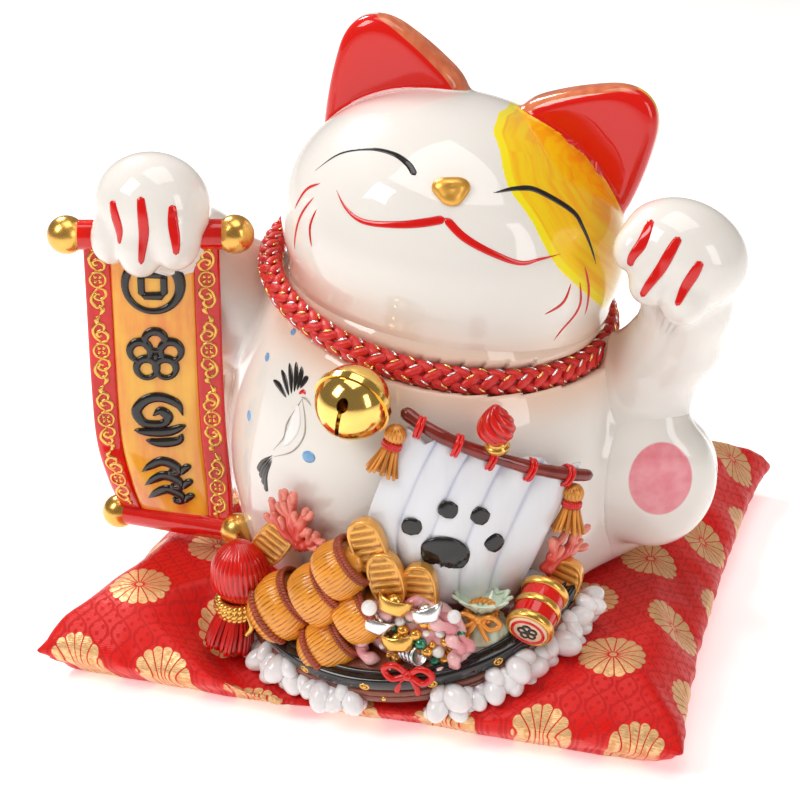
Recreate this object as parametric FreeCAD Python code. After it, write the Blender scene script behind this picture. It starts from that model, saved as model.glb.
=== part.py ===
import FreeCAD, Part

import math
import os

from FreeCAD import Matrix, Placement, Rotation, Vector

# Beckoning cat of glazed ceramic on a brocade cushion. Millimetres, +Z up. The origin is the middle
# of the cushion's flat underside, and the cat looks along -Y.

# Driving dimensions ---------------------------------------------------------------------------
CUSHION = 300.0                    # side of the square cushion, corner to corner
CUSHION_SEAT = 39.6                # height of the pressed top under the cat
COVER = 1.2                        # thickness of the cushion's covers
BASE_Z = 40.0                      # height of the cat's flat base
BODY = Vector(5, -25, 93)          # middle of the body
BODY_R = 98.0                      # body radius
BODY_H = 121.0                     # half height of the body's full egg
HEAD = Vector(14.4, -25, 198)      # middle of the head
HEAD_RADII = (80.5, 78.0, 62.0)
HEAD_ROLL = Rotation(Vector(0, 1, 0), 13.35)
WALL = 5.0                         # ceramic wall
NECK = Vector(8, -25, 169)         # middle of the collar
NECK_AXIS = Vector(0.24, -0.10, 1.0).normalize()
COLLAR_R = 80.4                    # collar centreline radius
CORD_R = 5.5                       # collar cord radius
BELL_R = 16.5
BELL_SHELL = 1.0
EYE_R = 2.0                        # wire rings of the bell's eye and shank
BALE_AXIS = Vector(0.75, 0.10, 0.62).normalize()
ROLLER_R = 7.0
KNOB_R = 9.0
BANNER_W = 62.0
BANNER_T = 3.0
GAP = 0.35                         # room between bodies that move apart
TOUCH = 0.02                       # a seam this thin keeps neighbours of one body off each other

placed = {}                        # node name: shape
blockers = []                      # solids that later pieces are trimmed by


# Shapes ---------------------------------------------------------------------------------------
def ellipsoid(centre, radii, turn=None):
    """A solid ellipsoid with three radii, turned and then moved to its centre."""
    stretch = Matrix()
    stretch.scale(radii[0] / 10.0, radii[1] / 10.0, radii[2] / 10.0)
    solid = Part.makeSphere(10.0).transformGeometry(stretch)
    return solid.transformed(Placement(centre, turn or Rotation()).toMatrix())


def circle_wire(centre, normal, radius):
    """A round wire about a point."""
    return Part.Wire(Part.Circle(centre, normal, radius).toShape())


def limb(stations):
    """A smooth tapered tube through stations of (point, radius)."""
    points = [point for point, _ in stations]
    wires = []
    for i, (point, radius) in enumerate(stations):
        ahead = points[min(i + 1, len(points) - 1)] - points[max(i - 1, 0)]
        wires.append(circle_wire(point, ahead, radius))
    return Part.makeLoft(wires, True, False)


def rod(start, end, radius):
    """A round bar between two points."""
    along = end - start
    return Part.makeCylinder(radius, along.Length, start, along)


def taper(start, end, radius_start, radius_end):
    """A cone frustum between two points."""
    along = end - start
    return Part.makeCone(radius_start, radius_end, along.Length, start, along)


def ring(centre, axis, radius, wire_radius):
    """A torus."""
    return Part.makeTorus(radius, wire_radius, centre, axis)


def prism(outline, direction):
    """A closed outline of points swept straight along a direction."""
    wire = Part.makePolygon(outline + [outline[0]])
    return Part.Face(wire).extrude(direction)


def facing(direction, spin=0.0):
    """The turn that takes +Z to a direction, after a spin about +Z."""
    return Rotation(Vector(0, 0, 1), direction).multiply(Rotation(Vector(0, 0, 1), spin))


def turned_box(size, centre, turn):
    """A box about a centre, turned."""
    block = Part.makeBox(size[0], size[1], size[2], Vector(-size[0] / 2, -size[1] / 2, -size[2] / 2))
    return block.transformed(Placement(centre, turn).toMatrix())


def on_belly(x, z, proud):
    """The point in front of the belly at x and z, and the outward direction there."""
    r, h = BODY_R + proud, BODY_H + proud
    u, w = (x - BODY.x) / r, (z - BODY.z) / h
    v = -math.sqrt(max(0.0, 1.0 - u * u - w * w))
    normal = Vector(u / r, v / r, w / h).normalize()
    return Vector(x, BODY.y + v * r, z), normal


# Placing --------------------------------------------------------------------------------------
def solids_of(shape, least=0.04):
    """The solids of a shape, without crumbs smaller than a share of the largest."""
    solids = sorted(shape.Solids, key=lambda s: -s.Volume)
    return [s for s in solids if s.Volume > least * solids[0].Volume]


def carve(shape):
    """Trim a shape by every piece placed before it that it may meet."""
    for block in blockers:
        if shape.Solids and shape.BoundBox.intersect(block.BoundBox):
            shape = shape.cut(block)
    return shape


def place(name, *shapes, blocker=None, trim=True):
    """Put a node in the model: each shape is trimmed, and then trims what comes later."""
    done = []
    for shape in shapes:
        fresh = carve(shape) if trim else shape
        if not fresh.Solids:
            continue
        done += solids_of(fresh)
        blockers.append(blocker or shape)
    placed[name] = done[0] if len(done) == 1 else Part.makeCompound(done)


def write_parts():
    """Write one STEP per node."""
    os.makedirs("parts", exist_ok=True)
    for old in os.listdir("parts"):
        os.remove(os.path.join("parts", old))
    for name, shape in placed.items():
        shape.exportStep(os.path.join("parts", name + ".step"))
        print(name, len(shape.Solids), "solids", round(shape.Volume / 1000.0, 2), "cm3",
              "valid" if shape.isValid() else "NOT VALID")


# Cushion --------------------------------------------------------------------------------------
def cushion_outline(corner, side, left, front, z):
    """A square of four bowed edges: its corners, then the middles of its sides and of its front."""
    c = [Vector(-corner, -corner, z), Vector(corner, -corner, z),
         Vector(corner, corner, z), Vector(-corner, corner, z)]
    middles = [Vector(0, -front, z), Vector(side, 0, z), Vector(0, side, z), Vector(-left, 0, z)]
    return Part.Wire([Part.Arc(c[i], middles[i], c[(i + 1) % 4]).toShape() for i in range(4)])


def cushion_solid(inset=0.0):
    """The closed pillow, or a smaller one inside it."""
    half = CUSHION / 2 - inset
    levels = [(half - 14, half - 4, half - 12, half + 3, inset),
              (half, half + 1, half - 8, half + 8, 12.0),
              (half - 13, half - 12, half - 18, half - 14, 25.0),
              (half - 46, half - 42, half - 44, half - 44, CUSHION_SEAT - inset)]
    return Part.makeLoft([cushion_outline(*level) for level in levels], True, True)


def make_cushion():
    """Two covers that meet at the seam, and the filling between them."""
    outer, inner = cushion_solid(), cushion_solid(COVER)
    shell = outer.cut(inner)
    below = Part.makeBox(400, 400, 12.0, Vector(-200, -200, 0))
    place("cushion_bottom_cover", shell.common(below), trim=False)
    place("cushion_top_cover", shell.cut(below), trim=False)
    place("cushion_filling", cushion_solid(COVER + TOUCH), trim=False)
    blockers.clear()
    clearance = outer.copy()
    clearance.translate(Vector(0, 0, GAP))
    blockers.append(clearance)


# Cat ------------------------------------------------------------------------------------------
def half_space(point, normal, side):
    """A large block on one side of a plane."""
    turn = facing(normal)
    centre = point + normal * (side * 150.0)
    return turned_box((400, 400, 300), centre, turn)


def grown(radii, step):
    """Radii moved in or out by a step."""
    return tuple(radius + step for radius in radii)


def make_body_and_head():
    """The hollow body and head, which meet on the plane of the collar and share one hollow."""
    egg = (BODY_R, BODY_R, BODY_H)
    below_neck = half_space(NECK, NECK_AXIS, -1)
    above_neck = half_space(NECK + NECK_AXIS * TOUCH, NECK_AXIS, 1)
    above_base = Part.makeBox(400, 400, 400, Vector(-200, -200, BASE_Z))
    groove = ring(NECK, NECK_AXIS, COLLAR_R, CORD_R + GAP)

    body = ellipsoid(BODY, egg).common(above_base).common(below_neck)
    hollow = ellipsoid(BODY, grown(egg, -WALL))
    hollow = hollow.common(Part.makeBox(400, 400, 400, Vector(-200, -200, BASE_Z + WALL)))
    vent = Part.makeCylinder(8.0, 20.0, Vector(BODY.x, BODY.y, BASE_Z - 5))
    place("body_shell", body.cut(hollow).cut(vent).cut(groove), blocker=body)

    skull = ellipsoid(HEAD, HEAD_RADII, HEAD_ROLL)
    brain = ellipsoid(HEAD, grown(HEAD_RADII, -WALL), HEAD_ROLL)
    head = skull.common(above_neck)
    place("head_shell", head.cut(brain).cut(groove), blocker=head)
    blockers.append(groove)


def make_ear(name, base_start, base_end, tip, depth):
    """A hollow-faced ear: thin ovals that shrink from the base to a rounded tip."""
    across = base_end - base_start
    middle = (base_start + base_end) * 0.5
    rise = tip - middle
    back = across.cross(rise).normalize()
    if back.y < 0:
        back = back * -1.0
    wires = []
    for along, share in ((-0.28, 1.12), (0.0, 1.0), (0.35, 0.74), (0.7, 0.42), (0.93, 0.17), (1.0, 0.05)):
        centre = middle + rise * along
        half = across.Length * 0.5 * share
        plane = across.cross(back).normalize()
        oval = Part.Ellipse(Vector(), half, min(depth * 0.5 * (0.35 + 0.65 * share), half * 0.9))
        wire = Part.Wire(oval.toShape())
        axes = Rotation(across, back, plane, "ZXY")
        wires.append(wire.transformed(Placement(centre, axes).toMatrix()))
    place(name, Part.makeLoft(wires, True, False))


def make_limbs():
    """Ears, arms, paws, legs and the tail."""
    make_ear("right_ear", Vector(-55, -6, 233), Vector(10, -6, 262), Vector(-29, -10, 291.5), 22.0)
    make_ear("left_ear", Vector(47, -6, 256), Vector(89, -6, 208), Vector(99.5, -10, 262), 22.0)
    make_scroll()
    place("right_paw", ellipsoid(Vector(-113.5, -76, 213), (27.5, 25.0, 26.0)))
    place("right_arm", limb([(Vector(-52, -22, 132), 30), (Vector(-84, -30, 150), 29),
                             (Vector(-106, -44, 176), 24), (Vector(-113, -66, 202), 20)]))
    place("left_paw", ellipsoid(Vector(126, -58, 208.5), (29.5, 25.0, 24.0),
                                Rotation(Vector(0, 1, 0), 22)))
    place("left_arm", limb([(Vector(66, -24, 122), 34), (Vector(100, -27, 143), 31),
                            (Vector(126, -38, 170), 23), (Vector(129, -50, 192), 20)]))
    for name, side, foot, toe_out in (("left_leg", 1, Vector(119, -40, 92), 20),
                                      ("right_leg", -1, Vector(-99, -34, 88), -10)):
        sole = ellipsoid(foot, (27.5, 20.0, 33.0), Rotation(Vector(0, 0, 1), toe_out))
        hip = Vector(BODY.x + side * 48, -8, 80)
        knee = Vector(BODY.x + side * 88, -18, 82)
        heel = foot + Vector(-side * 6, 12, -2)
        thigh = limb([(hip, 36), (knee, 37), (heel, 30)])
        place(name, thigh.fuse(sole))
    place("tail", limb([(Vector(40, 56, 60), 15), (Vector(72, 56, 62), 14),
                        (Vector(92, 52, 76), 12), (Vector(97, 48, 90), 9)]))
    face, out = Vector(28.5, -84, 236), Vector(0.16, -0.62, 0.77)
    place("nose", ellipsoid(face, (8.0, 5.5, 3.6), facing(out)))


# Scroll ---------------------------------------------------------------------------------------
def make_scroll():
    """Two rollers with round knobs, and the stiff banner that hangs and twists between them."""
    levels = (("upper", Vector(-115, -76, 199), 17.3, 38.3, ROLLER_R, KNOB_R),
              ("lower", Vector(-112, -68, 49.5), -12.0, 35.0, ROLLER_R - 1, KNOB_R - 0.5))
    for name, centre, yaw, half, radius, knob in levels:
        out = Vector(math.cos(math.radians(yaw)), math.sin(math.radians(yaw)),
                     0.0 if name == "upper" else 0.09)
        ends = (centre - out * half, centre + out * half)
        place("scroll_%s_knobs" % name, *[Part.makeSphere(knob, end, out) for end in ends])
        place("scroll_%s_roller" % name, rod(ends[0], ends[1], radius))
    sections = []
    for z, yaw, y in ((198, 17.3, -76), (96, 17.3, -76), (70, 4.0, -73), (50, -12.0, -68)):
        along = Vector(math.cos(math.radians(yaw)), math.sin(math.radians(yaw)), 0) * (BANNER_W / 2)
        depth = Vector(along.y, -along.x, 0).normalize() * (BANNER_T / 2)
        mid = Vector(-115 if z > 80 else -112.5, y, z)
        sections.append(Part.makePolygon([mid - along - depth, mid + along - depth,
                                          mid + along + depth, mid - along + depth,
                                          mid - along - depth]))
    place("scroll_banner", Part.makeLoft(sections, True, True))


# Boat -----------------------------------------------------------------------------------------
PROW, KEEL, STERN = Vector(-56, -118, 38), Vector(26, -151, 30), Vector(91, -101, 60)


def boat_circle():
    """Centre, axis, radius and the prow's direction of the circle through prow, keel and stern."""
    circle = Part.Arc(PROW, KEEL, STERN).toShape().Curve
    axis = circle.Axis if circle.Axis.z > 0 else circle.Axis * -1.0
    return circle.Center, axis, circle.Radius


def boat_band(profile, sweep):
    """A profile of (out, up) points carried round the boat's circle from the prow to the stern."""
    centre, axis, radius = boat_circle()
    start = (PROW - centre).normalize()
    points = [centre + start * (radius + out) + axis * up for out, up in profile]
    face = Part.Face(Part.makePolygon(points + [points[0]]))
    return face.revolve(centre, axis, sweep)


def boat_point(share, out, up):
    """A point at a share of the way from prow to stern, out from the gunwale and up."""
    centre, axis, radius = boat_circle()
    spoke = Rotation(axis, boat_sweep() * share).multVec((PROW - centre).normalize())
    return centre + spoke * (radius + out) + axis * up


def boat_sweep():
    """The angle from prow to stern."""
    centre, axis, _ = boat_circle()
    a, b = (PROW - centre).normalize(), (STERN - centre).normalize()
    angle = math.degrees(math.atan2(axis.dot(a.cross(b)), a.dot(b)))
    return angle if angle > 0 else angle + 360.0


def make_boat():
    """Hull, gunwale with rivets, and the bed that the cargo stands on."""
    sweep = boat_sweep()
    shares = [0.08 + 0.12 * i for i in range(8)]
    rivets = [Part.makeSphere(1.8, boat_point(share, 2.6, 0.0)) for share in shares]
    place("boat_gunwale", boat_band([(-2.5, -4.5), (2.5, -4.5), (2.5, 4.5), (-2.5, 4.5)], sweep))
    place("gunwale_rivets", *rivets)
    place("boat_hull", boat_band([(1.2, -4.6), (-4, -11), (-22, -11), (-22, -4.6)], sweep))
    place("cargo_bed", boat_band([(-2.6, -4.5), (-2.6, 3.0), (-40, 10.0), (-40, -4.5)], sweep))


def make_waves():
    """Foam at the waterline: rows of overlapping lumps under and in front of the hull."""
    crests = []
    for first, last, count in ((0.0, 0.36, 7), (0.60, 1.0, 8)):
        foam = None
        for i in range(count):
            share = first + (last - first) * i / (count - 1)
            lump = Part.makeSphere(8.5 + 1.5 * math.cos(2.4 * i), boat_point(share, 2.0, -11.0))
            foam = lump if foam is None else foam.fuse(lump)
        crests.append(foam)
    place("waves", *crests)


# Prow tassel ----------------------------------------------------------------------------------
def make_prow_tassel():
    """The large red tassel hung over the prow: strand head, braided cord and fringe."""
    knot = Vector(-58, -124, 58)
    place("prow_tassel_head", ellipsoid(knot, (14.0, 13.0, 15.0)))
    place("prow_tassel_cord", ring(knot + Vector(-2, -2, -15), Vector(0.1, -0.2, 1), 6.5, 3.0).fuse(
        Part.makeCylinder(6.5, 5.0, knot + Vector(-2, -2, -17.5), Vector(0, 0, 1))))
    place("prow_tassel_skirt", taper(knot + Vector(-2, -2, -17.5), knot + Vector(-5, -6, -31), 6.5, 10.5))


# Sail -----------------------------------------------------------------------------------------
def make_sail():
    """The curved sail in front of the belly, its yard, ties, tassels and the mast's finial."""
    corners = ((20, 133), (10, 117), (5, 95), (12, 72), (34, 62), (64, 56), (76, 84), (86, 111),
               (57, 128))
    outline = [Vector(x, -200, z) for x, z in corners]
    column = prism(outline, Vector(0, 180, 0))
    layer = ellipsoid(BODY, (BODY_R + 11.5, BODY_R + 11.5, BODY_H + 11.5))
    layer = layer.cut(ellipsoid(BODY, (BODY_R + 8.5, BODY_R + 8.5, BODY_H + 8.5)))
    yard = [on_belly(x, z, proud)[0] for x, z, proud in ((17.5, 147, 8), (36, 138.5, 12), (57, 129, 12),
                                                         (76, 120, 12), (95, 111, 12))]
    ties = []
    for x, z in ((27, 143), (43, 135.5), (57, 129), (72, 122), (86, 115.5)):
        point, _ = on_belly(x, z, 12.0)
        ties.append(ring(point, Vector(0.75, 0.25, -0.45), 3.2, 1.4))
    place("yard_ties", *ties)
    place("sail_yard", limb([(point, 3.0) for point in yard]))
    place("sail", column.common(layer))
    foot, _ = on_belly(59, 131.5, 12.0)
    tip = foot + Vector(0, -4, 22)
    place("mast_collar", ring(foot + Vector(0, -1, 3), Vector(0, -0.2, 1), 4.0, 1.6).fuse(
        rod(foot + Vector(0, -0.5, 1), foot + Vector(0, -2, 5), 4.0)))
    place("mast_finial", ellipsoid(foot + Vector(0, -3, 13), (8.5, 8.5, 10.5)).fuse(
        taper(foot + Vector(0, -3, 17), tip, 6.5, 1.0)))
    for name, x, z in (("right_yard_tassel", 17, 139), ("left_yard_tassel", 89, 106)):
        ball, _ = on_belly(x, z, 13.0)
        hem = ball + Vector(-5 if x < 50 else -1, -3, -17)
        place(name, taper(ball, hem, 3.6, 8.0).fuse(Part.makeSphere(4.4, ball)))


# Cargo ----------------------------------------------------------------------------------------
def make_bales():
    """Five short round rice bales in two leaning rows."""
    for i, (x, z, proud, radius) in enumerate(((-34, 48, 20, 15.0), (-16, 61, 20, 13.5),
                                               (-5, 76, 18, 12.5), (-9, 38, 25, 12.5), (4, 55, 22, 12.0))):
        centre, _ = on_belly(x, z, proud)
        half = BALE_AXIS * 8.0
        drum = rod(centre - half, centre + half, radius)
        place("rice_bale_%d" % (i + 1), drum.makeChamfer(2.5, drum.Edges[:1] + drum.Edges[2:]))


def make_tablets():
    """Five oval gold tablets, leaning between the bales and the sail."""
    tablets = []
    for x, z, proud, roll in ((8.5, 90, 17, -20), (17, 76, 20, -15), (31, 70, 19, -5),
                              (-44, 73, 8, 35), (86, 62, 15, 20)):
        centre, out = on_belly(x, z, proud)
        tablets.append(ellipsoid(centre, (7.5, 2.6, 12.5), Rotation(Vector(0, 1, 0), roll)))
    place("gold_tablets", *tablets)


def make_bag():
    """The open pink bag, heaped with ingots, pearls, beads and coins."""
    centre, out = on_belly(28, 48, 20.0)
    bag = ellipsoid(centre, (23.0, 12.0, 17.0))
    treasure = []
    for name, spots, size in (("gold_ingots", ((22, 66, 30), (24, 47, 33)), 6.0),
                              ("silver_ingots", ((36, 62, 30), (13, 55, 30)), 5.6)):
        feet = [on_belly(*spot)[0] + Vector(0, 4, 0) for spot in spots]
        treasure.append((name, [taper(foot, foot + Vector(0, -7, 2), size, size - 1.5) for foot in feet]))
    coins = [Part.makeCylinder(5.0, 1.8, on_belly(45, 46.0, 31)[0] + Vector(0, 0, 2.0 * i)) for i in range(3)]
    treasure.append(("coin_stack", coins))
    place("treasure_bag", bag)
    for name, shapes in treasure:
        place(name, *shapes)
    pitch = 6.0
    beads = {"white_pearls": [], "green_beads": [], "gold_beads": []}
    names = list(beads)
    for row in range(-2, 3):
        for column in range(-4, 5):
            x = 29.0 + pitch * (column + 0.5 * (row % 2))
            z = 50.0 + pitch * 0.87 * row
            near = min(math.hypot(x - s[0], z - s[1]) for s in ((22, 66), (24, 47), (36, 62), (13, 55), (45, 48)))
            if near < 7.6:
                continue
            u = (x - centre.x) / 23.0
            w = (z - centre.z) / 17.0
            if u * u + w * w > 0.86:
                continue
            y = centre.y - 12.0 * math.sqrt(1 - u * u - w * w) - 1.2
            beads[names[(row + 2 * column) % 3]].append(Part.makeSphere(2.7, Vector(x, y, z)))
    for name in names:
        place(name, *beads[name])


def make_pouch_and_mallet():
    """The tied green pouch and the small mallet at the stern."""
    pouch, _ = on_belly(56, 47, 20.0)
    neck = pouch + Vector(0, -3, 11)
    place("pouch_cord", ring(neck, Vector(0, -0.3, 1), 6.0, 1.8))
    place("green_pouch", ellipsoid(pouch, (14.5, 11.0, 12.5)).fuse(
        taper(neck - Vector(0, 0, 3), neck + Vector(-1, -2, 9), 5.5, 12.0)))
    face, _ = on_belly(78, 50, 24.0)
    back = face + Vector(3.5, 20, 14)
    along = back - face
    bands = []
    for share in (0.12, 0.85):
        spot = face + along * share
        bands.append(rod(spot, spot + along * 0.1, 10.6).cut(rod(spot, spot + along * 0.1, 9.6)))
    place("mallet_bands", *bands)
    place("mallet_barrel", rod(face, back, 9.6))


def make_coral():
    """Branching coral at both sides of the boat."""
    branches = []
    for foot, tips in (
            ((-30, 74, 5), ((-33, 100, 6), (-38, 99, 6), (-43, 92, 6), (-25, 95, 7), (-21, 86, 8))),
            ((79, 70, 12), ((82, 83, 10), (90, 86, 8), (90, 79, 9)))):
        root, _ = on_belly(*foot)
        branches += [rod(root, on_belly(*tip)[0], 2.8) for tip in tips]
    place("coral", *branches)


# Collar and bell ------------------------------------------------------------------------------
def bell_layout():
    """Where the bell hangs: cord point, outward axis of the bell, cord tangent, eye and bell centre."""
    wanted = Vector(-2, -130, 151.4)
    flat = wanted - NECK
    flat = (flat - NECK_AXIS * flat.dot(NECK_AXIS)).normalize()
    cord = NECK + flat * COLLAR_R
    axis = (wanted - cord).normalize()
    tangent = NECK_AXIS.cross(flat).normalize()
    eye = cord + axis * (CORD_R + EYE_R - 1.0)
    return cord, axis, tangent, eye, eye + axis * (2 * EYE_R - 0.3 + BELL_R)


def make_collar():
    """The braided cord ring, with the small wire eye that the bell hangs in."""
    _, _, tangent, eye, _ = bell_layout()
    placed["collar_cord"] = ring(NECK, NECK_AXIS, COLLAR_R, CORD_R)
    placed["bell_eye"] = ring(eye, tangent, EYE_R, 0.6).cut(placed["collar_cord"])


def make_bell():
    """A round crotal bell: two half shells, a rim, a shank through the eye, and a loose pellet."""
    _, axis, tangent, eye, centre = bell_layout()
    turn = facing(axis)
    shell = Part.makeSphere(BELL_R, centre).cut(Part.makeSphere(BELL_R - BELL_SHELL, centre))
    near_half = turned_box((60, 60, 30), centre - axis * 15.0, turn)
    side = axis.cross(tangent).normalize()
    slot = turned_box((1.8, 22, 12), centre + axis * BELL_R, Rotation(tangent, side, axis, "ZXY"))
    for end in (-11.0, 11.0):
        at = centre + side * end + axis * (BELL_R - 8)
        slot = slot.fuse(Part.makeCylinder(2.5, 14.0, at, axis))
    rim = rod(centre - axis * 1.5, centre + axis * 1.5, BELL_R + 0.9)
    rim = rim.cut(Part.makeSphere(BELL_R + TOUCH, centre))
    shank = ring(eye + axis * EYE_R, side, EYE_R, 0.6)
    placed["bell_upper_half"] = shell.common(near_half)
    placed["bell_lower_half"] = shell.cut(near_half).cut(slot)
    placed["bell_rim"] = rim
    placed["bell_shank"] = shank.cut(Part.makeSphere(BELL_R + TOUCH, centre))
    placed["bell_pellet"] = Part.makeSphere(4.0, centre - Vector(0, 0, BELL_R - BELL_SHELL - 4.0 - GAP))


def main():
    """Build every node and write it."""
    make_cushion()
    make_body_and_head()
    make_limbs()
    make_boat()
    make_prow_tassel()
    make_sail()
    make_bales()
    make_bag()
    make_pouch_and_mallet()
    make_tablets()
    make_coral()
    make_waves()
    make_collar()
    make_bell()
    write_parts()


main()
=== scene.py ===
import logging
import math
from dataclasses import dataclass, field
from enum import Enum
from typing import Callable, Sequence

import bmesh
import bpy
import numpy as np
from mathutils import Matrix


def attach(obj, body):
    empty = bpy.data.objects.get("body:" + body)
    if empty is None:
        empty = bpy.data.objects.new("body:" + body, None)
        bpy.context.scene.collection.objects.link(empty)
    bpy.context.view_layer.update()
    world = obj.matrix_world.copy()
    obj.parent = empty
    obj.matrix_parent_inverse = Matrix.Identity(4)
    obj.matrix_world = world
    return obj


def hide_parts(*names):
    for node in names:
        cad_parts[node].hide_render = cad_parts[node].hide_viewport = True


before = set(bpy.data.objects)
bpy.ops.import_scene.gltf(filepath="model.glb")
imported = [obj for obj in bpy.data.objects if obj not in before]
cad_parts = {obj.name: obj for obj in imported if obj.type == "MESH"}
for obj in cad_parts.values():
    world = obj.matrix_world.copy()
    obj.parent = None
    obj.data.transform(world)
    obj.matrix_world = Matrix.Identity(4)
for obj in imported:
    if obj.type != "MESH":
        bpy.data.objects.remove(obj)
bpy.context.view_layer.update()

LOG = logging.getLogger("cat_figurine")
MM = 0.001
TAU = 2.0 * math.pi
Array = np.ndarray
Colour = tuple[float, float, float]
FRONT = np.array([0.0, -1.0, 0.0])
BODY_AT = np.array([5.0, -25.0, 93.0])
NECK_AT = np.array([8.0, -25.0, 169.0])
NECK_AXIS = np.array([0.24, -0.10, 1.0]) / math.sqrt(0.24**2 + 0.10**2 + 1.0)
COLLAR_RADIUS = 80.4


class Body(Enum):
    """The bodies that pieces ride on."""

    CUSHION = "cushion"
    CAT = "cat"
    COLLAR = "collar"
    BELL = "bell"
    PELLET = "pellet"


# Geometry helpers ---------------------------------------------------------------------------------
def vec(x: float, y: float, z: float) -> Array:
    """A point or direction as an array."""
    return np.array([x, y, z], dtype=float)


def unit(v: Array) -> Array:
    """Vectors scaled to length one."""
    return v / np.maximum(np.linalg.norm(v, axis=-1, keepdims=True), 1e-9)


def turn_about(axis: Array, degrees: float) -> Array:
    """The rotation matrix about an axis (Rodrigues' formula)."""
    x, y, z = unit(axis)
    c, s = math.cos(math.radians(degrees)), math.sin(math.radians(degrees))
    skew = np.array([[0, -z, y], [z, 0, -x], [-y, x, 0]])
    return np.eye(3) * c + s * skew + (1 - c) * np.outer([x, y, z], [x, y, z])


def angles(count: int) -> Array:
    """Evenly spaced angles once round a circle."""
    return np.linspace(0, TAU, count, endpoint=False)


def smooth_step(x: Array, low: float, high: float) -> Array:
    """A soft ramp from 0 at low to 1 at high."""
    t = np.clip((x - low) / (high - low), 0.0, 1.0)
    return t * t * (3.0 - 2.0 * t)


def smooth_path(points: Sequence, count: int) -> Array:
    """A Catmull-Rom curve through control points of any width.

    Args:
        points: The control points, one row each.
        count: How many points to give back, evenly spaced in the curve's parameter.

    Returns:
        An array of count rows.
    """
    pts = np.asarray(points, float)
    padded = np.vstack([2 * pts[0] - pts[1], pts, 2 * pts[-1] - pts[-2]])
    t = np.linspace(0, len(pts) - 1, count)
    i = np.minimum(t.astype(int), len(pts) - 2)
    f = (t - i)[:, None]
    p0, p1, p2, p3 = (padded[i + k] for k in range(4))
    return 0.5 * (2 * p1 + (p2 - p0) * f + (2 * p0 - 5 * p1 + 4 * p2 - p3) * f**2
                  + (3 * p1 - p0 - 3 * p2 + p3) * f**3)


def frames_along(path: Array, reference: Array, loop: bool = False) -> tuple[Array, Array]:
    """Two unit directions square to a path, with the first as near a reference as it can be."""
    step = np.roll(path, -1, 0) - np.roll(path, 1, 0) if loop else np.gradient(path, axis=0)
    along = unit(step)
    side = unit(np.cross(along, np.broadcast_to(reference, path.shape)))
    return unit(np.cross(side, along)), side


def tube(path: Array, radius: Array | float, reference: Array, sides: int = 14,
         flat: Array | float = 1.0, loop: bool = False) -> Array:
    """A tube round a path: point = path + r (flat cos a * reference side + sin a * across).

    Args:
        path: Points along the middle.
        radius: Half width across, one value or one per point.
        reference: The direction, or one per point, that the flattened side faces.
        sides: Points round the tube.
        flat: The height as a share of the width.
        loop: Whether the path closes on itself.

    Returns:
        A grid of rows along the path and columns round it.
    """
    up, side = frames_along(path, reference, loop)
    r = np.broadcast_to(np.asarray(radius, float), (len(path),))[:, None, None]
    h = r * np.broadcast_to(np.asarray(flat, float), (len(path),))[:, None, None]
    a = angles(sides)[None, :, None]
    return path[:, None, :] + h * np.cos(a) * up[:, None, :] + r * np.sin(a) * side[:, None, :]


def lathe(profile: Array, centre: Array, axis: Array, sides: int = 48) -> Array:
    """A profile of (radius, height) rows turned about an axis through a centre."""
    w = unit(axis)
    u = unit(np.cross(w, vec(0.31, 0.2, 0.93) if abs(w[2]) < 0.9 else vec(1, 0, 0)))
    v = np.cross(w, u)
    a = angles(sides)[None, :, None]
    r, h = profile[:, 0][:, None, None], profile[:, 1][:, None, None]
    return centre + r * (np.cos(a) * u + np.sin(a) * v) + h * w


def ball(centre: Array, radii: Array | float, rows: int = 12, sides: int = 20,
         turn: Array | None = None) -> Array:
    """An ellipsoid as a grid of latitudes and longitudes."""
    lat = np.linspace(-0.5 * math.pi + 0.06, 0.5 * math.pi - 0.06, rows)[:, None]
    lon = angles(sides)[None, :]
    p = np.stack([np.cos(lat) * np.cos(lon), np.cos(lat) * np.sin(lon),
                  np.sin(lat) + 0 * lon], axis=-1) * radii
    return centre + (p if turn is None else p @ turn.T)


def slab(front: Array, back: Array) -> Array:
    """A closed sheet: each row runs over the front and returns over the back, and the end rows meet."""
    rows = np.concatenate([front, back[:, ::-1]], axis=1)
    ends = [0.5 * (rows[k] + np.concatenate([back[k], front[k, ::-1]])) for k in (0, -1)]
    return np.concatenate([ends[0][None], rows, ends[1][None]], axis=0)


def strands(top: Array, hem: Array, r_top: float, r_hem: float, count: int, thick: float,
            bow: float = 0.0) -> list[Array]:
    """Tassel strands: tubes from a small ring to a wider one, bowed outwards in the middle."""
    w = unit(hem - top)
    u = unit(np.cross(w, vec(0.2, 1, 0.1)))
    v = np.cross(w, u)
    t = np.linspace(0, 1, 9)[:, None]
    out = []
    for i in range(count):
        a = TAU * (i + 0.25 * math.sin(5.1 * i)) / count
        spoke = math.cos(a) * u + math.sin(a) * v
        length = 1.0 + 0.05 * math.sin(7.7 * i)
        r = r_top + (r_hem - r_top) * t**1.3 + bow * np.sin(math.pi * t)
        path = top + (hem - top) * t * length + spoke * r
        out.append(tube(path, thick * (1.0 - 0.25 * t[:, 0]), spoke, 7))
    return out


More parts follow.
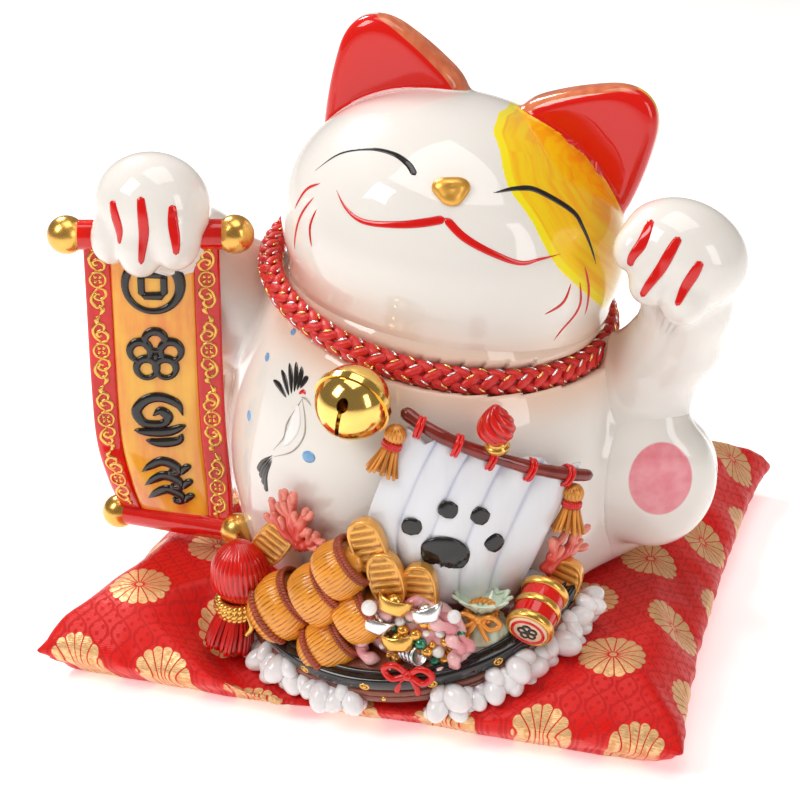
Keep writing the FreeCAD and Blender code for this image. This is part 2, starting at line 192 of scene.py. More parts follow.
def bow(pile: "Pile", at: Array, loop: Sequence, tail: Sequence, thick: tuple[float, float],
        knot: tuple[float, float], sides: int) -> None:
    """A tied bow: a loop and a tail on either side of a knot, in cords of two thicknesses.

    Args:
        pile: Where it goes.
        at: Where it is tied.
        loop: Points of the left loop after the knot, mirrored for the right one.
        tail: Points of the left tail after the knot.
        thick: Half widths of the loops and of the tails.
        knot: How far the knot stands forward, and its radius.
        sides: Points round each cord.
    """
    for side in (-1, 1):
        for way, radius, count in (([*loop, (0, 0, 0)], thick[0], 30), (tail, thick[1], 14)):
            points = [at] + [at + vec(x * side, y, z) for x, y, z in way]
            pile.grid(tube(smooth_path(points, count), radius, FRONT, sides))
    pile.grid(ball(at + knot[0] * FRONT, knot[1], 9, 14))


def rope_ring(pile: "Pile", centre: Array, axis: Array, radius: float | Array, thick: float,
              twists: int, sides: int = 8) -> None:
    """Two strands twisted round each other in a ring: each is a helix on a ring of their half width."""
    w = unit(axis)
    u = unit(np.cross(w, vec(0.3, 0.2, 0.93) if abs(w[2]) < 0.9 else vec(1, 0, 0)))
    v = np.cross(w, u)
    a = angles(max(48, twists * 8))[:, None]
    spoke = np.cos(a) * u + np.sin(a) * v
    for phase in (0.0, math.pi):
        b = twists * a + phase
        path = centre + spoke * (radius + 0.5 * thick * np.cos(b)) + w * (0.5 * thick * np.sin(b))
        pile.grid(tube(path, 0.55 * thick, spoke, sides, loop=True), loop=True)


class Pile:
    """Closed shells gathered into one mesh, each given as a grid of points."""

    def __init__(self) -> None:
        """Start with no shells."""
        self.points: list[Array] = []
        self.faces: list[list[int]] = []
        self.values: dict[str, list[Array]] = {}
        self.count = 0

    def grid(self, points: Array, closed: bool = True, loop: bool = False,
             **values: Array | float) -> "Pile":
        """Add a grid: four-sided faces between rows and columns, and a fan over each end.

        Args:
            points: Rows by columns by three.
            closed: Whether the first and the last row are each closed by a fan to their middle.
            loop: Whether the last row joins the first, with no fans.
            values: Named values, one per grid point.

        Returns:
            The pile itself.
        """
        rows, cols = points.shape[:2]
        closed = closed and not loop
        values.setdefault("wash", 0.0)
        i = np.arange(rows if loop else rows - 1)[:, None]
        i, below = i * cols, (i + 1) % rows * cols
        j = np.arange(cols)[None, :]
        k = (j + 1) % cols
        quads = np.stack([i + j, i + k, below + k, below + j], axis=-1).reshape(-1, 4)
        self.faces += (quads + self.count).tolist()
        self.points.append(points.reshape(-1, 3))
        hub = self.count + rows * cols
        ring = np.arange(cols)
        for row, step in ((0, -1), (rows - 1, 1)) if closed else ():
            self.points.append(points[row].mean(axis=0)[None, :])
            edge = self.count + row * cols + np.stack([ring, (ring + 1) % cols])[::step]
            self.faces += np.stack([*edge, np.full(cols, hub)], axis=-1).tolist()
            hub += 1
        for name, value in values.items():
            flat = np.broadcast_to(value, (rows, cols)).reshape(-1).astype(float)
            ends = [flat[:cols].mean(), flat[-cols:].mean()] if closed else []
            self.values.setdefault(name, []).append(np.concatenate([flat, ends]))
        self.count = hub
        return self

    def piece(self, name: str, finish: "Finish", *nodes: str, rides: Body = Body.CAT,
              sharp: float | None = None, weld: bool = False) -> bpy.types.Object:
        """Make the mesh object, dress it and hide the frame's nodes that it replaces.

        Args:
            name: The piece's name.
            finish: Its material.
            nodes: The frame's nodes that it replaces.
            rides: The body that it moves with.
            sharp: An angle in degrees over which edges stay crisp, or none.
            weld: Whether points that lie on each other become one.

        Returns:
            The new object.
        """
        mesh = bpy.data.meshes.new(name)
        mesh.from_pydata((np.concatenate(self.points) * MM).tolist(), [], self.faces)
        for key, parts in self.values.items():
            data = np.concatenate(parts)
            mesh.attributes.new(key, "FLOAT", "POINT").data.foreach_set("value", data)
        work = bmesh.new()
        work.from_mesh(mesh)
        if weld:
            bmesh.ops.remove_doubles(work, verts=work.verts, dist=0.02 * MM)
        bmesh.ops.recalc_face_normals(work, faces=work.faces)
        work.to_mesh(mesh)
        work.free()
        return dress(bpy.data.objects.new(name, mesh), rides, finish, *nodes, sharp=sharp)


def dress(obj: bpy.types.Object, rides: Body, finish: "Finish", *nodes: str,
          sharp: float | None = None) -> bpy.types.Object:
    """Link an object, shade it smooth, give it its material and body, and hide the nodes that it replaces."""
    bpy.context.scene.collection.objects.link(obj)
    obj.data.polygons.foreach_set("use_smooth", np.ones(len(obj.data.polygons), dtype=bool))
    if sharp is not None:
        obj.data.set_sharp_from_angle(angle=math.radians(sharp))
    obj.data.materials.clear()
    obj.data.materials.append(finish.material())
    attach(obj, rides.value)
    if nodes:
        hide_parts(*nodes)
    LOG.info("%s: %d faces, rides %s", obj.name, len(obj.data.polygons), rides.value)
    return obj


# Materials ----------------------------------------------------------------------------------------
class Nodes:
    """A short way to wire one material's nodes."""

    def __init__(self, name: str) -> None:
        """Make an empty material with a Principled shader."""
        self.material = bpy.data.materials.new(name)
        self.material.use_nodes = True
        self.tree = self.material.node_tree
        self.tree.nodes.clear()
        self.shader = self.tree.nodes.new("ShaderNodeBsdfPrincipled")
        out = self.tree.nodes.new("ShaderNodeOutputMaterial")
        self.tree.links.new(self.shader.outputs[0], out.inputs[0])

    def feed(self, socket: bpy.types.NodeSocket, value: object) -> None:
        """Set a socket from another socket, a number or a colour."""
        if isinstance(value, bpy.types.NodeSocket):
            self.tree.links.new(value, socket)
        elif isinstance(value, (tuple, list)) and len(value) == 3 and socket.type == "RGBA":
            socket.default_value = (*value, 1.0)
        else:
            socket.default_value = value

    def set(self, **values: object) -> None:
        """Set the shader's inputs by name, with _ for a space."""
        for key, value in values.items():
            self.feed(self.shader.inputs[key.replace("_", " ")], value)

    def math(self, kind: str, a: object, b: object = 0.0, c: object = 0.0) -> bpy.types.NodeSocket:
        """A Math node."""
        node = self.tree.nodes.new("ShaderNodeMath")
        node.operation = kind
        for socket, value in zip(node.inputs, (a, b, c)):
            self.feed(socket, value)
        return node.outputs[0]

    def mix(self, share: object, a: object, b: object, kind: str = "MIX") -> bpy.types.NodeSocket:
        """A colour Mix node."""
        node = self.tree.nodes.new("ShaderNodeMix")
        node.data_type = "RGBA"
        node.blend_type = kind
        self.feed(node.inputs["Factor"], share)
        self.feed(node.inputs[6], a)
        self.feed(node.inputs[7], b)
        return node.outputs[2]

    def place(self) -> bpy.types.NodeSocket:
        """Object coordinates, in metres."""
        return self.tree.nodes.new("ShaderNodeTexCoord").outputs["Object"]

    def stretched(self, source: object, scale: tuple, turn: tuple = (0, 0, 0)) -> bpy.types.NodeSocket:
        """Coordinates turned and scaled."""
        node = self.tree.nodes.new("ShaderNodeMapping")
        node.inputs["Rotation"].default_value = turn
        node.inputs["Scale"].default_value = scale
        self.feed(node.inputs["Vector"], source)
        return node.outputs[0]

    def value(self, name: str) -> bpy.types.NodeSocket:
        """A named value stored on the mesh."""
        node = self.tree.nodes.new("ShaderNodeAttribute")
        node.attribute_name = name
        return node.outputs["Fac"]

    def noise(self, source: object, scale: float, detail: float = 3.0) -> bpy.types.NodeSocket:
        """A noise value from 0 to 1."""
        node = self.tree.nodes.new("ShaderNodeTexNoise")
        self.feed(node.inputs["Vector"], source)
        node.inputs["Scale"].default_value = scale
        node.inputs["Detail"].default_value = detail
        return node.outputs["Fac"]

    def ramp(self, source: object, low: float, high: float, to_low: float = 0.0,
             to_high: float = 1.0) -> bpy.types.NodeSocket:
        """A clamped smooth Map Range."""
        node = self.tree.nodes.new("ShaderNodeMapRange")
        node.interpolation_type = "SMOOTHSTEP"
        for socket, value in zip(node.inputs, (source, low, high, to_low, to_high)):
            self.feed(socket, value)
        return node.outputs[0]

    def bump(self, height: object, distance: float, strength: float = 1.0) -> None:
        """Put a Bump node on the shader."""
        node = self.tree.nodes.new("ShaderNodeBump")
        node.inputs["Strength"].default_value = strength
        node.inputs["Distance"].default_value = distance
        self.feed(node.inputs["Height"], height)
        self.tree.links.new(node.outputs[0], self.shader.inputs["Normal"])


@dataclass(frozen=True)
class Finish:
    """A painted and glazed finish: a colour, a second colour for a second tone and for painted shade in the
    hollows, mottling and a clear coat.

    The piece's own value of the same name (0 to 1) says where the second colour lies. The slot is not used.
    """

    name: str
    slot: str
    colour: Colour
    wash: Colour = (0.0, 0.0, 0.0)
    roughness: float = 0.25
    coat: float = 1.0
    coat_roughness: float = 0.04
    metallic: float = 0.0
    glow: float = 0.0
    mottle: float = 0.08
    mottle_scale: float = 60.0
    grain: float = 0.00004
    grain_scale: float = 900.0
    washed: bool = False

    def material(self) -> bpy.types.Material:
        """The finish's material, made once."""
        made = bpy.data.materials.get("paint_" + self.name)
        return made if made else self.make()

    def make(self) -> bpy.types.Material:
        """Wire the nodes."""
        n = Nodes("paint_" + self.name)
        place = n.place()
        colour: object = self.colour
        # Mix in the second colour where the piece's value says: painted shade in grooves, hollows and creases
        # on most pieces, a real second tone on a few.
        if self.washed:
            broken = n.math("MULTIPLY_ADD", n.noise(place, self.mottle_scale * 4), 0.4, -0.2)
            share = n.ramp(n.math("ADD", n.value("wash"), broken), 0.05, 0.95)
            colour = n.mix(share, self.colour, self.wash)
        cloud = n.ramp(n.noise(place, self.mottle_scale), 0.3, 0.7, 1.0 - self.mottle, 1.0 + self.mottle)
        grey = n.tree.nodes.new("ShaderNodeCombineColor")
        for socket in grey.inputs[:3]:
            n.feed(socket, cloud)
        n.set(Base_Color=n.mix(1.0, colour, grey.outputs[0], "MULTIPLY"), Metallic=self.metallic,
              Roughness=n.ramp(n.noise(place, self.mottle_scale * 2), 0.2, 0.8, self.roughness * 0.8,
                               self.roughness * 1.25),
              Coat_Weight=self.coat, Coat_Roughness=self.coat_roughness,
              Specular_IOR_Level=0.5 - 0.4 * self.coat)
        if self.glow:
            n.set(Subsurface_Weight=self.glow, Subsurface_Radius=(1.0, 0.6, 0.4),
                  Subsurface_Scale=0.002)
        n.bump(n.noise(place, self.grain_scale, 2.0), self.grain)
        return n.material


@dataclass(frozen=True)
class Porcelain(Finish):
    """White glaze over painted colour fields, each held on the mesh as millimetres inside its border.

    The fields are "patch" (yellow with a lemon edge and brush streaks), "red", "strip" (thin brushed
    red), "pink" and "collar_shade" (0 to 1, painted warm shade in the hollows by the collar cord).
    """

    lemon: Colour = (0.98, 0.80, 0.012)
    amber: Colour = (0.94, 0.34, 0.006)
    red: Colour = (0.74, 0.006, 0.002)
    brushed: Colour = (0.62, 0.13, 0.055)
    pink: Colour = (0.80, 0.22, 0.27)
    # The colour of the painted warm shade near the collar cord.
    peach: Colour = (0.82, 0.46, 0.28)

    def make(self) -> bpy.types.Material:
        """Wire the nodes."""
        n = Nodes("paint_" + self.name)
        place = n.place()
        cloud = n.ramp(n.noise(place, 14.0), 0.3, 0.7)
        white = n.mix(cloud, self.colour, tuple(0.975 * c for c in self.colour))
        # Painted warm shade: peach mixed into the white near the collar cord.
        warm = n.mix(n.math("MULTIPLY", n.value("collar_shade"), 0.62), white, self.peach)
        patch = n.value("patch")
        brush = n.tree.nodes.new("ShaderNodeCombineXYZ")
        n.feed(brush.inputs[0], n.math("MULTIPLY", patch, 0.24))
        n.feed(brush.inputs[1], n.math("MULTIPLY", n.value("along"), 0.018))
        streaks = n.noise(brush.outputs[0], 1.0, 4.0)
        depth = n.math("ADD", n.math("MULTIPLY", n.ramp(patch, 6.0, 62.0), 0.5),
                       n.math("MULTIPLY", n.ramp(streaks, 0.4, 0.7), 0.62))
        gold = n.mix(depth, (0.97, 0.64, 0.008), self.amber)
        field = n.mix(n.ramp(patch, 3.6, 4.6), self.lemon, gold)
        colour = n.mix(n.ramp(patch, 0.05, 0.4), warm, field)
        fine = n.noise(n.stretched(place, (1.0, 1.0, 0.2), (0.3, 0.5, 0.0)), 170.0, 2.0)
        thin = n.mix(n.ramp(fine, 0.3, 0.75), self.brushed, (0.78, 0.24, 0.10))
        colour = n.mix(n.ramp(n.value("red"), 0.05, 0.5), colour, self.red)
        colour = n.mix(n.ramp(n.value("strip"), 0.05, 0.6), colour, thin)
        rosy = n.mix(n.ramp(n.noise(place, 130.0, 4.0), 0.3, 0.7), self.pink, (0.86, 0.34, 0.38))
        colour = n.mix(n.ramp(n.value("pink"), 0.05, 1.0), colour, rosy)
        n.set(Base_Color=colour, Roughness=0.25, Coat_Weight=1.0, Coat_Roughness=0.03,
              Specular_IOR_Level=0.12,
              Subsurface_Weight=0.12, Subsurface_Radius=(1.0, 0.7, 0.5), Subsurface_Scale=0.003)
        n.bump(n.noise(place, 45.0, 1.0), 0.00006)
        return n.material


GLAZE = Porcelain("white_glaze", "white_glaze", (0.865, 0.825, 0.775))
STROKE_RED = Finish("red_brush", "red_glaze", (0.68, 0.004, 0.003), mottle=0.06)
STROKE_BLACK = Finish("black_brush", "black_enamel", (0.012, 0.010, 0.010), mottle=0.3)
STROKE_BLUE = Finish("blue_brush", "white_glaze", (0.20, 0.42, 0.72), mottle=0.25)
STROKE_GREY = Finish("bird_brush", "white_glaze", (0.42, 0.36, 0.30), mottle=0.3)
STROKE_WHITE = Finish("bird_white", "white_glaze", (0.92, 0.90, 0.88), mottle=0.02)
GILT = Finish("gilt", "gilt", (0.82, 0.46, 0.10), (0.30, 0.10, 0.02), 0.26, 0.4, 0.1, 0.9,
              mottle=0.12, grain=0.00010, grain_scale=420.0)
NOSE_GILT = Finish("nose_gilt", "gilt", (0.84, 0.44, 0.08), roughness=0.36, coat=0.2, coat_roughness=0.2,
                   metallic=0.7, mottle=0.05)
RED_GLAZE = Finish("red_glaze", "red_glaze", (0.70, 0.006, 0.003), (0.18, 0.0, 0.0), mottle=0.07)
SCROLL_RED = Finish("scroll_red", "banner_paint", (0.70, 0.007, 0.003), mottle=0.12, grain=0.00008)
BLACK = Finish("black_enamel", "black_enamel", (0.010, 0.008, 0.008), roughness=0.12, mottle=0.4)
# On the finishes below that mix in their second colour, it is mostly painted shade for grooves and hollows.
PLANKS = Finish("plank_brown", "plank_brown", (0.20, 0.045, 0.022), (0.035, 0.008, 0.005),
                mottle=0.3, washed=True)
YARD = Finish("yard_brown", "yard_brown", (0.20, 0.018, 0.012), (0.05, 0.0, 0.0), mottle=0.3)
STRAW = Finish("straw", "straw", (0.88, 0.34, 0.035), (0.26, 0.045, 0.004), 0.28, 0.8, 0.08,
               mottle=0.14, grain=0.00016, grain_scale=520.0, washed=True)
BROWN_ROPE = Finish("bale_rope", "straw", (0.36, 0.055, 0.014), (0.12, 0.02, 0.008), 0.36, 0.5,
                    0.15, mottle=0.2, washed=True)
TABLET = Finish("tablet_gold", "gilt", (0.86, 0.42, 0.085), (0.34, 0.10, 0.012), 0.3, 0.6, 0.1, 0.55,
                mottle=0.12, washed=True)
FRINGE = Finish("fringe_gold", "gilt", (0.82, 0.33, 0.055), (0.26, 0.06, 0.008), 0.36, 0.4, 0.15, 0.3,
                mottle=0.15, washed=True)
RED_FRINGE = Finish("fringe_red", "red_glaze", (0.68, 0.008, 0.004), (0.20, 0.001, 0.001), 0.3, 0.8,
                    0.08, mottle=0.12, washed=True)
PINK_BAG = Finish("pink_paint", "pink_paint", (0.86, 0.50, 0.50), (0.72, 0.16, 0.20), 0.3, 0.8,
                  mottle=0.06, washed=True)
SILVER = Finish("silver_paint", "silver_paint", (0.78, 0.78, 0.80), (0.25, 0.25, 0.28), 0.22, 0.4,
                0.1, 0.95, mottle=0.1)
PEARL = Finish("pearl_white", "pearl_white", (0.88, 0.86, 0.85), roughness=0.15, glow=0.15)
GREEN_BEAD = Finish("green_enamel", "green_enamel", (0.035, 0.26, 0.16), roughness=0.16,
                    metallic=0.6, mottle=0.2)
GOLD_BEAD = Finish("gold_bead", "gilt", (0.88, 0.42, 0.06), roughness=0.18, coat=0.8, metallic=0.75,
                   mottle=0.1)
POUCH_GREEN = Finish("pale_green", "pale_green", (0.62, 0.74, 0.58), (0.80, 0.62, 0.42), 0.3, 0.8,
                     mottle=0.06, washed=True)
CORAL = Finish("coral_pink", "coral_pink", (0.74, 0.065, 0.045), (0.88, 0.27, 0.20), 0.3, 0.8,
               mottle=0.12, washed=True)
FOAM = Finish("foam_white", "foam_white", (0.86, 0.83, 0.84), (0.55, 0.36, 0.42), 0.25, 1.0,
              mottle=0.04, glow=0.1, washed=True)
PEACH_DISC = Finish("mallet_face", "red_glaze", (0.90, 0.62, 0.42), mottle=0.06)


@dataclass(frozen=True)
class SailCloth(Finish):
    """Glazed white panels: painted lavender shade in the seams, under the yard and towards the hem, and faint
    hanging streaks.
    """

    def make(self) -> bpy.types.Material:
        """Wire the nodes."""
        n = Nodes("paint_" + self.name)
        place = n.place()
        fall = n.noise(n.stretched(place, (1.0, 1.0, 0.15)), 120.0, 4.0)
        share = n.math("ADD", n.value("wash"), n.ramp(fall, 0.3, 0.8, -0.12, 0.16))
        colour = n.mix(n.ramp(share, 0.0, 1.0), self.colour, self.wash)
        n.set(Base_Color=colour, Roughness=0.3, Coat_Weight=0.8, Coat_Roughness=0.08)
        n.bump(fall, 0.00008)
        return n.material


@dataclass(frozen=True)
class BannerPaint(Finish):
    """Orange-yellow brushed ground, with darker long streaks down the banner."""

    def make(self) -> bpy.types.Material:
        """Wire the nodes."""
        n = Nodes("paint_" + self.name)
        place = n.place()
        down = n.noise(n.stretched(place, (1.0, 1.0, 0.12)), 160.0, 5.0)
        pools = n.noise(place, 34.0, 3.0)
        share = n.math("ADD", n.ramp(down, 0.35, 0.7, 0.0, 0.7), n.ramp(pools, 0.4, 0.7, 0.0, 0.5))
        n.set(Base_Color=n.mix(share, self.colour, self.wash), Roughness=0.28, Coat_Weight=0.9,
              Coat_Roughness=0.06)
        n.bump(down, 0.00010)
        return n.material


SAIL_WHITE = SailCloth("sail_white", "sail_white", (0.80, 0.81, 0.85), (0.45, 0.47, 0.64))
BANNER = BannerPaint("banner_orange", "banner_paint", (0.97, 0.50, 0.015), (0.86, 0.24, 0.008))


# Ceramic body -------------------------------------------------------------------------------------
def soft_min(a: Array, b: Array, k: float) -> Array:
    """The smaller of two distances, rounded where they are within k of each other."""
    h = np.maximum(k - np.abs(a - b), 0.0) / k
    return np.minimum(a, b) - 0.25 * k * h * h


def egg_distance(p: Array, centre: Array, radii: Array, turn: Array | None = None) -> Array:
    """About how far points lie outside an ellipsoid: k0 (k0 - 1) / k1, with k0 = |p/r|, k1 = |p/r^2|."""
    q = p - centre if turn is None else (p - centre) @ turn
    k0 = np.linalg.norm(q / radii, axis=-1)
    return k0 * (k0 - 1.0) / np.maximum(np.linalg.norm(q / radii**2, axis=-1), 1e-6)


def chain_distance(p: Array, stations: Array, k: float = 8.0) -> Array:
    """Distance outside a chain of balls joined by tapered bars, for rows of (x, y, z, r)."""
    total = None
    for a, b in zip(stations[:-1], stations[1:]):
        along = b[:3] - a[:3]
        t = np.clip(((p - a[:3]) @ along) / (along @ along), 0.0, 1.0)
        d = np.linalg.norm(p - a[:3] - t[..., None] * along, axis=-1) - (a[3] + t * (b[3] - a[3]))
        total = d if total is None else soft_min(total, d, k)
    return total


def sky(rows: int, cols: int, axes: Array | None = None) -> Array:
    """Unit directions on a grid of latitudes (pole to pole) and longitudes."""
    lat = np.linspace(-0.5 * math.pi + 0.012, 0.5 * math.pi - 0.012, rows)[:, None]
    lon = np.linspace(-math.pi, math.pi, cols, endpoint=False)[None, :]
    d = np.stack([np.cos(lat) * np.sin(lon), -np.cos(lat) * np.cos(lon), np.sin(lat) + 0 * lon], -1)
    return d if axes is None else d @ axes.T


def reach(field_of: Callable[[Array], Array], centre: Array, rays: Array, far: float) -> Array:
    """Where rays from a centre leave a solid, found by halving the span where its field changes sign."""
    near_t = np.zeros(rays.shape[:-1])
    far_t = np.full(rays.shape[:-1], far)
    for _ in range(18):
        mid = 0.5 * (near_t + far_t)
        inside = field_of(centre + rays * mid[..., None]) < 0
        near_t, far_t = np.where(inside, mid, near_t), np.where(inside, far_t, mid)
    return centre + rays * (0.5 * (near_t + far_t))[..., None]


def slope(field_of: Callable[[Array], Array], p: Array, step: float = 0.4) -> Array:
    """The outward direction of a field, from differences along each axis."""
    parts = [field_of(p + step * e) - field_of(p - step * e) for e in np.eye(3)]
    return unit(np.stack(parts, axis=-1))


@dataclass
class Ear:
    """A thick three-cornered leaf with rounded edges."""

    start: Array
    end: Array
    tip: Array
    thick: float = 19.0
    rounding: float = 7.0

    def local(self, p: Array) -> Array:
        """Coordinates across the ear, up it and through it."""
        across = unit(self.end - self.start)
        rise = self.tip - 0.5 * (self.start + self.end)
        through = unit(np.cross(rise, across))
        through = through if through[1] > 0 else -through
        return (p - 0.5 * (self.start + self.end)) @ np.stack([across, np.cross(through, across),
                                                                through], axis=1)

    def corners(self, inset: float) -> Array:
        """The plan's corners, moved towards its middle, with the base sunk below the head."""
        flat = np.stack([self.local(c)[:2] for c in (self.start, self.tip, self.end)])
        if flat[1, 1] < 0:
            flat[:, 1] *= -1
        flat[[0, 2], 1] -= 20.0
        flat[0, 0] -= 5.0
        flat[2, 0] += 5.0
        flat[1, 1] += 8.0
        middle = flat.mean(axis=0)
        return flat + unit(middle - flat) * inset

    def plan(self, p: Array) -> Array:
        """Distance outside the three-cornered plan: the largest of its edges' distances, softened."""
        q = self.local(p)
        uv = np.stack([q[..., 0], q[..., 1] * self.sign()], axis=-1)
        c = self.corners(0.0)
        middle = c.mean(axis=0)
        total = None
        for i in range(3):
            a, b = c[i], c[(i + 1) % 3]
            normal = unit(np.array([b[1] - a[1], a[0] - b[0]]))
            normal = normal if (a - middle) @ normal > 0 else -normal
            bow = 5.5 if i < 2 else 0.0
            t = np.clip(((uv - a) @ (b - a)) / ((b - a) @ (b - a)), 0, 1)
            d = (uv - a) @ normal - bow * 4 * t * (1 - t)
            total = d if total is None else -soft_min(-total, -d, 26.0)
        return total

    def sign(self) -> float:
        """Whether the plan's second axis points to the tip."""
        return 1.0 if self.local(self.tip)[1] > 0 else -1.0

    def distance(self, p: Array) -> Array:
        """Distance outside the leaf: plan and thickness joined with a rounded edge."""
        q = self.local(p)
        high = np.clip(q[..., 1] * self.sign() / np.linalg.norm(self.tip - self.start), 0, 1)
        half = 0.5 * self.thick * (1.0 - 0.45 * high)
        hollow = 1.2 * np.exp(-np.square(np.maximum(self.plan(p) + 20.0, 0.0) / 8.0))
        through = np.where(q[..., 2] < 0, -q[..., 2] - half + hollow * 0.5, q[..., 2] - half)
        r = self.rounding * (1.0 - 0.4 * high)
        a, b = self.plan(p) + r, through + r
        outside = np.hypot(np.maximum(a, 0), np.maximum(b, 0))
        return outside + np.minimum(np.maximum(a, b), 0.0) - r

    def middle(self) -> Array:
        """A point well inside the leaf."""
        return 0.5 * (self.start + self.end) * 0.75 + 0.25 * self.tip


@dataclass
class Ceramic:
    """The cat's glazed body: eggs and tapered limbs whose distances are joined by rounded fillets.

    Each piece is a net of rays from its own middle, ended where the joined field is nought. Inside a
    neighbour it is sunk a little, so two pieces cross on the line where they are equally near.
    """

    body_radii: Array = field(default_factory=lambda: vec(98, 98, 121))
    head_at: Array = field(default_factory=lambda: vec(14.4, -25, 198))
    head_radii: Array = field(default_factory=lambda: vec(80.5, 78, 62))
    head_roll: float = 13.35
    cord_radius: float = 6.2
    base: float = 40.15
    limb_fillet: float = 15.0
    fillets: dict = field(default_factory=lambda: {"_ear": 2.5, "_paw": 5.0, "hell": 9.0, "_arm": 8.0})
    grid: tuple[int, int] = (150, 220)

    def __post_init__(self) -> None:
        """Set out the ears, the limbs and which pieces grow together."""
        self.roll = turn_about(vec(0, 1, 0), self.head_roll)
        self.ears = {"right_ear": Ear(vec(-59, -6, 229), vec(12, -6, 264), vec(-32, -10, 292)),
                     "left_ear": Ear(vec(92, -6, 206), vec(45, -6, 258), vec(101, -10, 263))}
        self.chains = {
            "right_arm": [(-52, -22, 132, 30), (-84, -30, 150, 29), (-106, -44, 176, 24),
                          (-113, -66, 202, 20)],
            "left_arm": [(62, -22, 98, 32), (92, -26, 120, 24), (110, -31, 141, 21),
                         (122, -37, 160, 19), (127, -45, 179, 18), (127, -50, 191, 19)],
            "right_leg": [(-43, -8, 80, 36), (-83, -18, 82, 37), (-93, -22, 86, 30)],
            "left_leg": [(53, -8, 80, 36), (93, -18, 82, 37), (113, -28, 90, 30)],
            "tail": [(40, 56, 60, 15), (72, 56, 62, 14), (92, 52, 76, 12), (97, 48, 90, 9)]}
        self.middles = {"body_shell": BODY_AT, "head_shell": self.head_at,
                        "right_arm": vec(-92, -34, 160), "left_arm": vec(108, -30, 138),
                        "right_leg": vec(-84, -18, 82), "left_leg": vec(98, -18, 84),
                        "tail": vec(77, 55, 66), "right_paw": vec(-113.5, -76, 213),
                        "left_paw": vec(126, -58, 208.5)}
        self.middles.update({name: ear.middle() for name, ear in self.ears.items()})
        torso = ("body_shell", "right_arm", "right_leg", "left_arm", "left_leg", "tail")
        left = ("body_shell", "left_arm", "left_leg", "tail")
        right = ("body_shell", "right_arm", "right_leg")
        crown = ("head_shell", "right_ear", "left_ear")
        self.family = {"body_shell": torso, "right_arm": right + ("right_paw",),
                       "left_arm": left + ("left_paw",), "right_leg": right, "left_leg": left,
                       "tail": left, "right_paw": ("right_arm", "right_paw"),
                       "left_paw": ("left_arm", "left_paw"),
                       "head_shell": ("body_shell",) + crown,
                       "right_ear": crown, "left_ear": crown}

    def head_angles(self, p: Array) -> tuple[Array, Array]:
        """Longitude and latitude on the head, in degrees, of points near it."""
        q = ((p - self.head_at) @ self.roll) / self.head_radii
        q = unit(q)
        return (np.degrees(np.arctan2(q[..., 0], -q[..., 1])),
                np.degrees(np.arcsin(np.clip(q[..., 2], -1, 1))))

    def own(self, name: str, p: Array) -> Array:
        """One piece's distance in millimetres, negative inside."""
        if name == "body_shell":
            d = egg_distance(p, BODY_AT, self.body_radii)
            d = -soft_min(-d, p[..., 2] - self.base, 9.0)
            flat = np.hypot(p[..., 0] - BODY_AT[0], p[..., 1] - BODY_AT[1])
            vent = np.maximum(flat - 8.0, p[..., 2] - 54.0)
            ring = np.maximum(flat - 62.0, p[..., 2] - 42.2)
            return np.maximum(np.maximum(d, -vent), -ring)
        if name == "head_shell":
            d = egg_distance(p, self.head_at, self.head_radii, self.roll)
            lon, lat = self.head_angles(p)
            cheeks = sum(1.9 * np.exp(-((lon - c) / 19.0) ** 2 - ((lat - 33.0) / 8.5) ** 2)
                         for c in (-17.0, 29.0))
            crown = -1.4 * np.exp(-((90.0 - lat) / 22.0) ** 2)
            return d - cheeks - crown
        if name in self.ears:
            return self.ears[name].distance(p)
        if name in self.chains:
            d = chain_distance(p, np.array(self.chains[name], float))
            if name.endswith("leg"):
                d = soft_min(d, self.sole(name, p), 3.5)
            if name in ("right_leg", "left_leg", "tail"):
                d = -soft_min(-d, p[..., 2] - self.base, 6.0)
            return d
        return self.paw(name, p)

    def collar_room(self, d: Array, p: Array) -> Array:
        """A field with a groove round the neck for the cord, its lips rounded."""
        q = p - NECK_AT
        up = q @ NECK_AXIS
        out = np.linalg.norm(q - up[..., None] * NECK_AXIS, axis=-1)
        return -soft_min(-d, np.hypot(out - COLLAR_RADIUS, up) - self.cord_radius, 3.0)

    def sole(self, name: str, p: Array) -> Array:
        """The upright foot: a blunt egg with a flattened sole."""
        at, toe_out = ((vec(116, -44, 92), 20.0) if name == "left_leg" else (vec(-99, -34, 88), -10.0))
        turn = turn_about(vec(0, 0, 1), toe_out)
        d = egg_distance(p, at, vec(29, 20, 33), turn)
        front = -((p - at) @ turn)[..., 1] - 17.6
        return -soft_min(-d, -front, 7.0)

    def paw(self, name: str, p: Array) -> Array:
        """A paw: an egg with three toes run together at its lower front."""
        if name == "right_paw":
            at, radii, turn = self.middles[name], vec(27.0, 23.5, 24.5), np.eye(3)
            toes = (((-16, -11, -13), (9.0, 11, 12.5)), ((-1, -13, -16), (10.5, 12, 13.5)),
                    ((15, -10, -12), (11.0, 13, 13.5)))
        else:
            at, radii, turn = self.middles[name], vec(28.5, 23.5, 22.5), turn_about(vec(0, 1, 0), 22)
            toes = (((-20, -9, -4), (9.0, 12, 11)), ((-7, -13, -12), (10, 12, 12)),
                    ((9, -12, -14), (11, 13, 12)))
        d = egg_distance(p, at, radii, turn)
        for spot, size in toes:
            d = soft_min(d, egg_distance(p, at + np.array(spot) @ turn.T, np.array(size, float),
                                         turn), 3.5)
        return d

    def joined(self, name: str, p: Array) -> tuple[Array, Array]:
        """The joined field round a piece, and how much nearer the piece is than its neighbours."""
        total, nearest, own = None, np.full(p.shape[:-1], 1e3), None
        for other in self.family[name]:
            d = self.own(other, p)
            fillet = self.fillets.get(other[-4:], self.limb_fillet)
            total = d if total is None else soft_min(total, d, fillet)
            if other == name:
                own = d
            else:
                nearest = np.minimum(nearest, d)
        return total, nearest - own

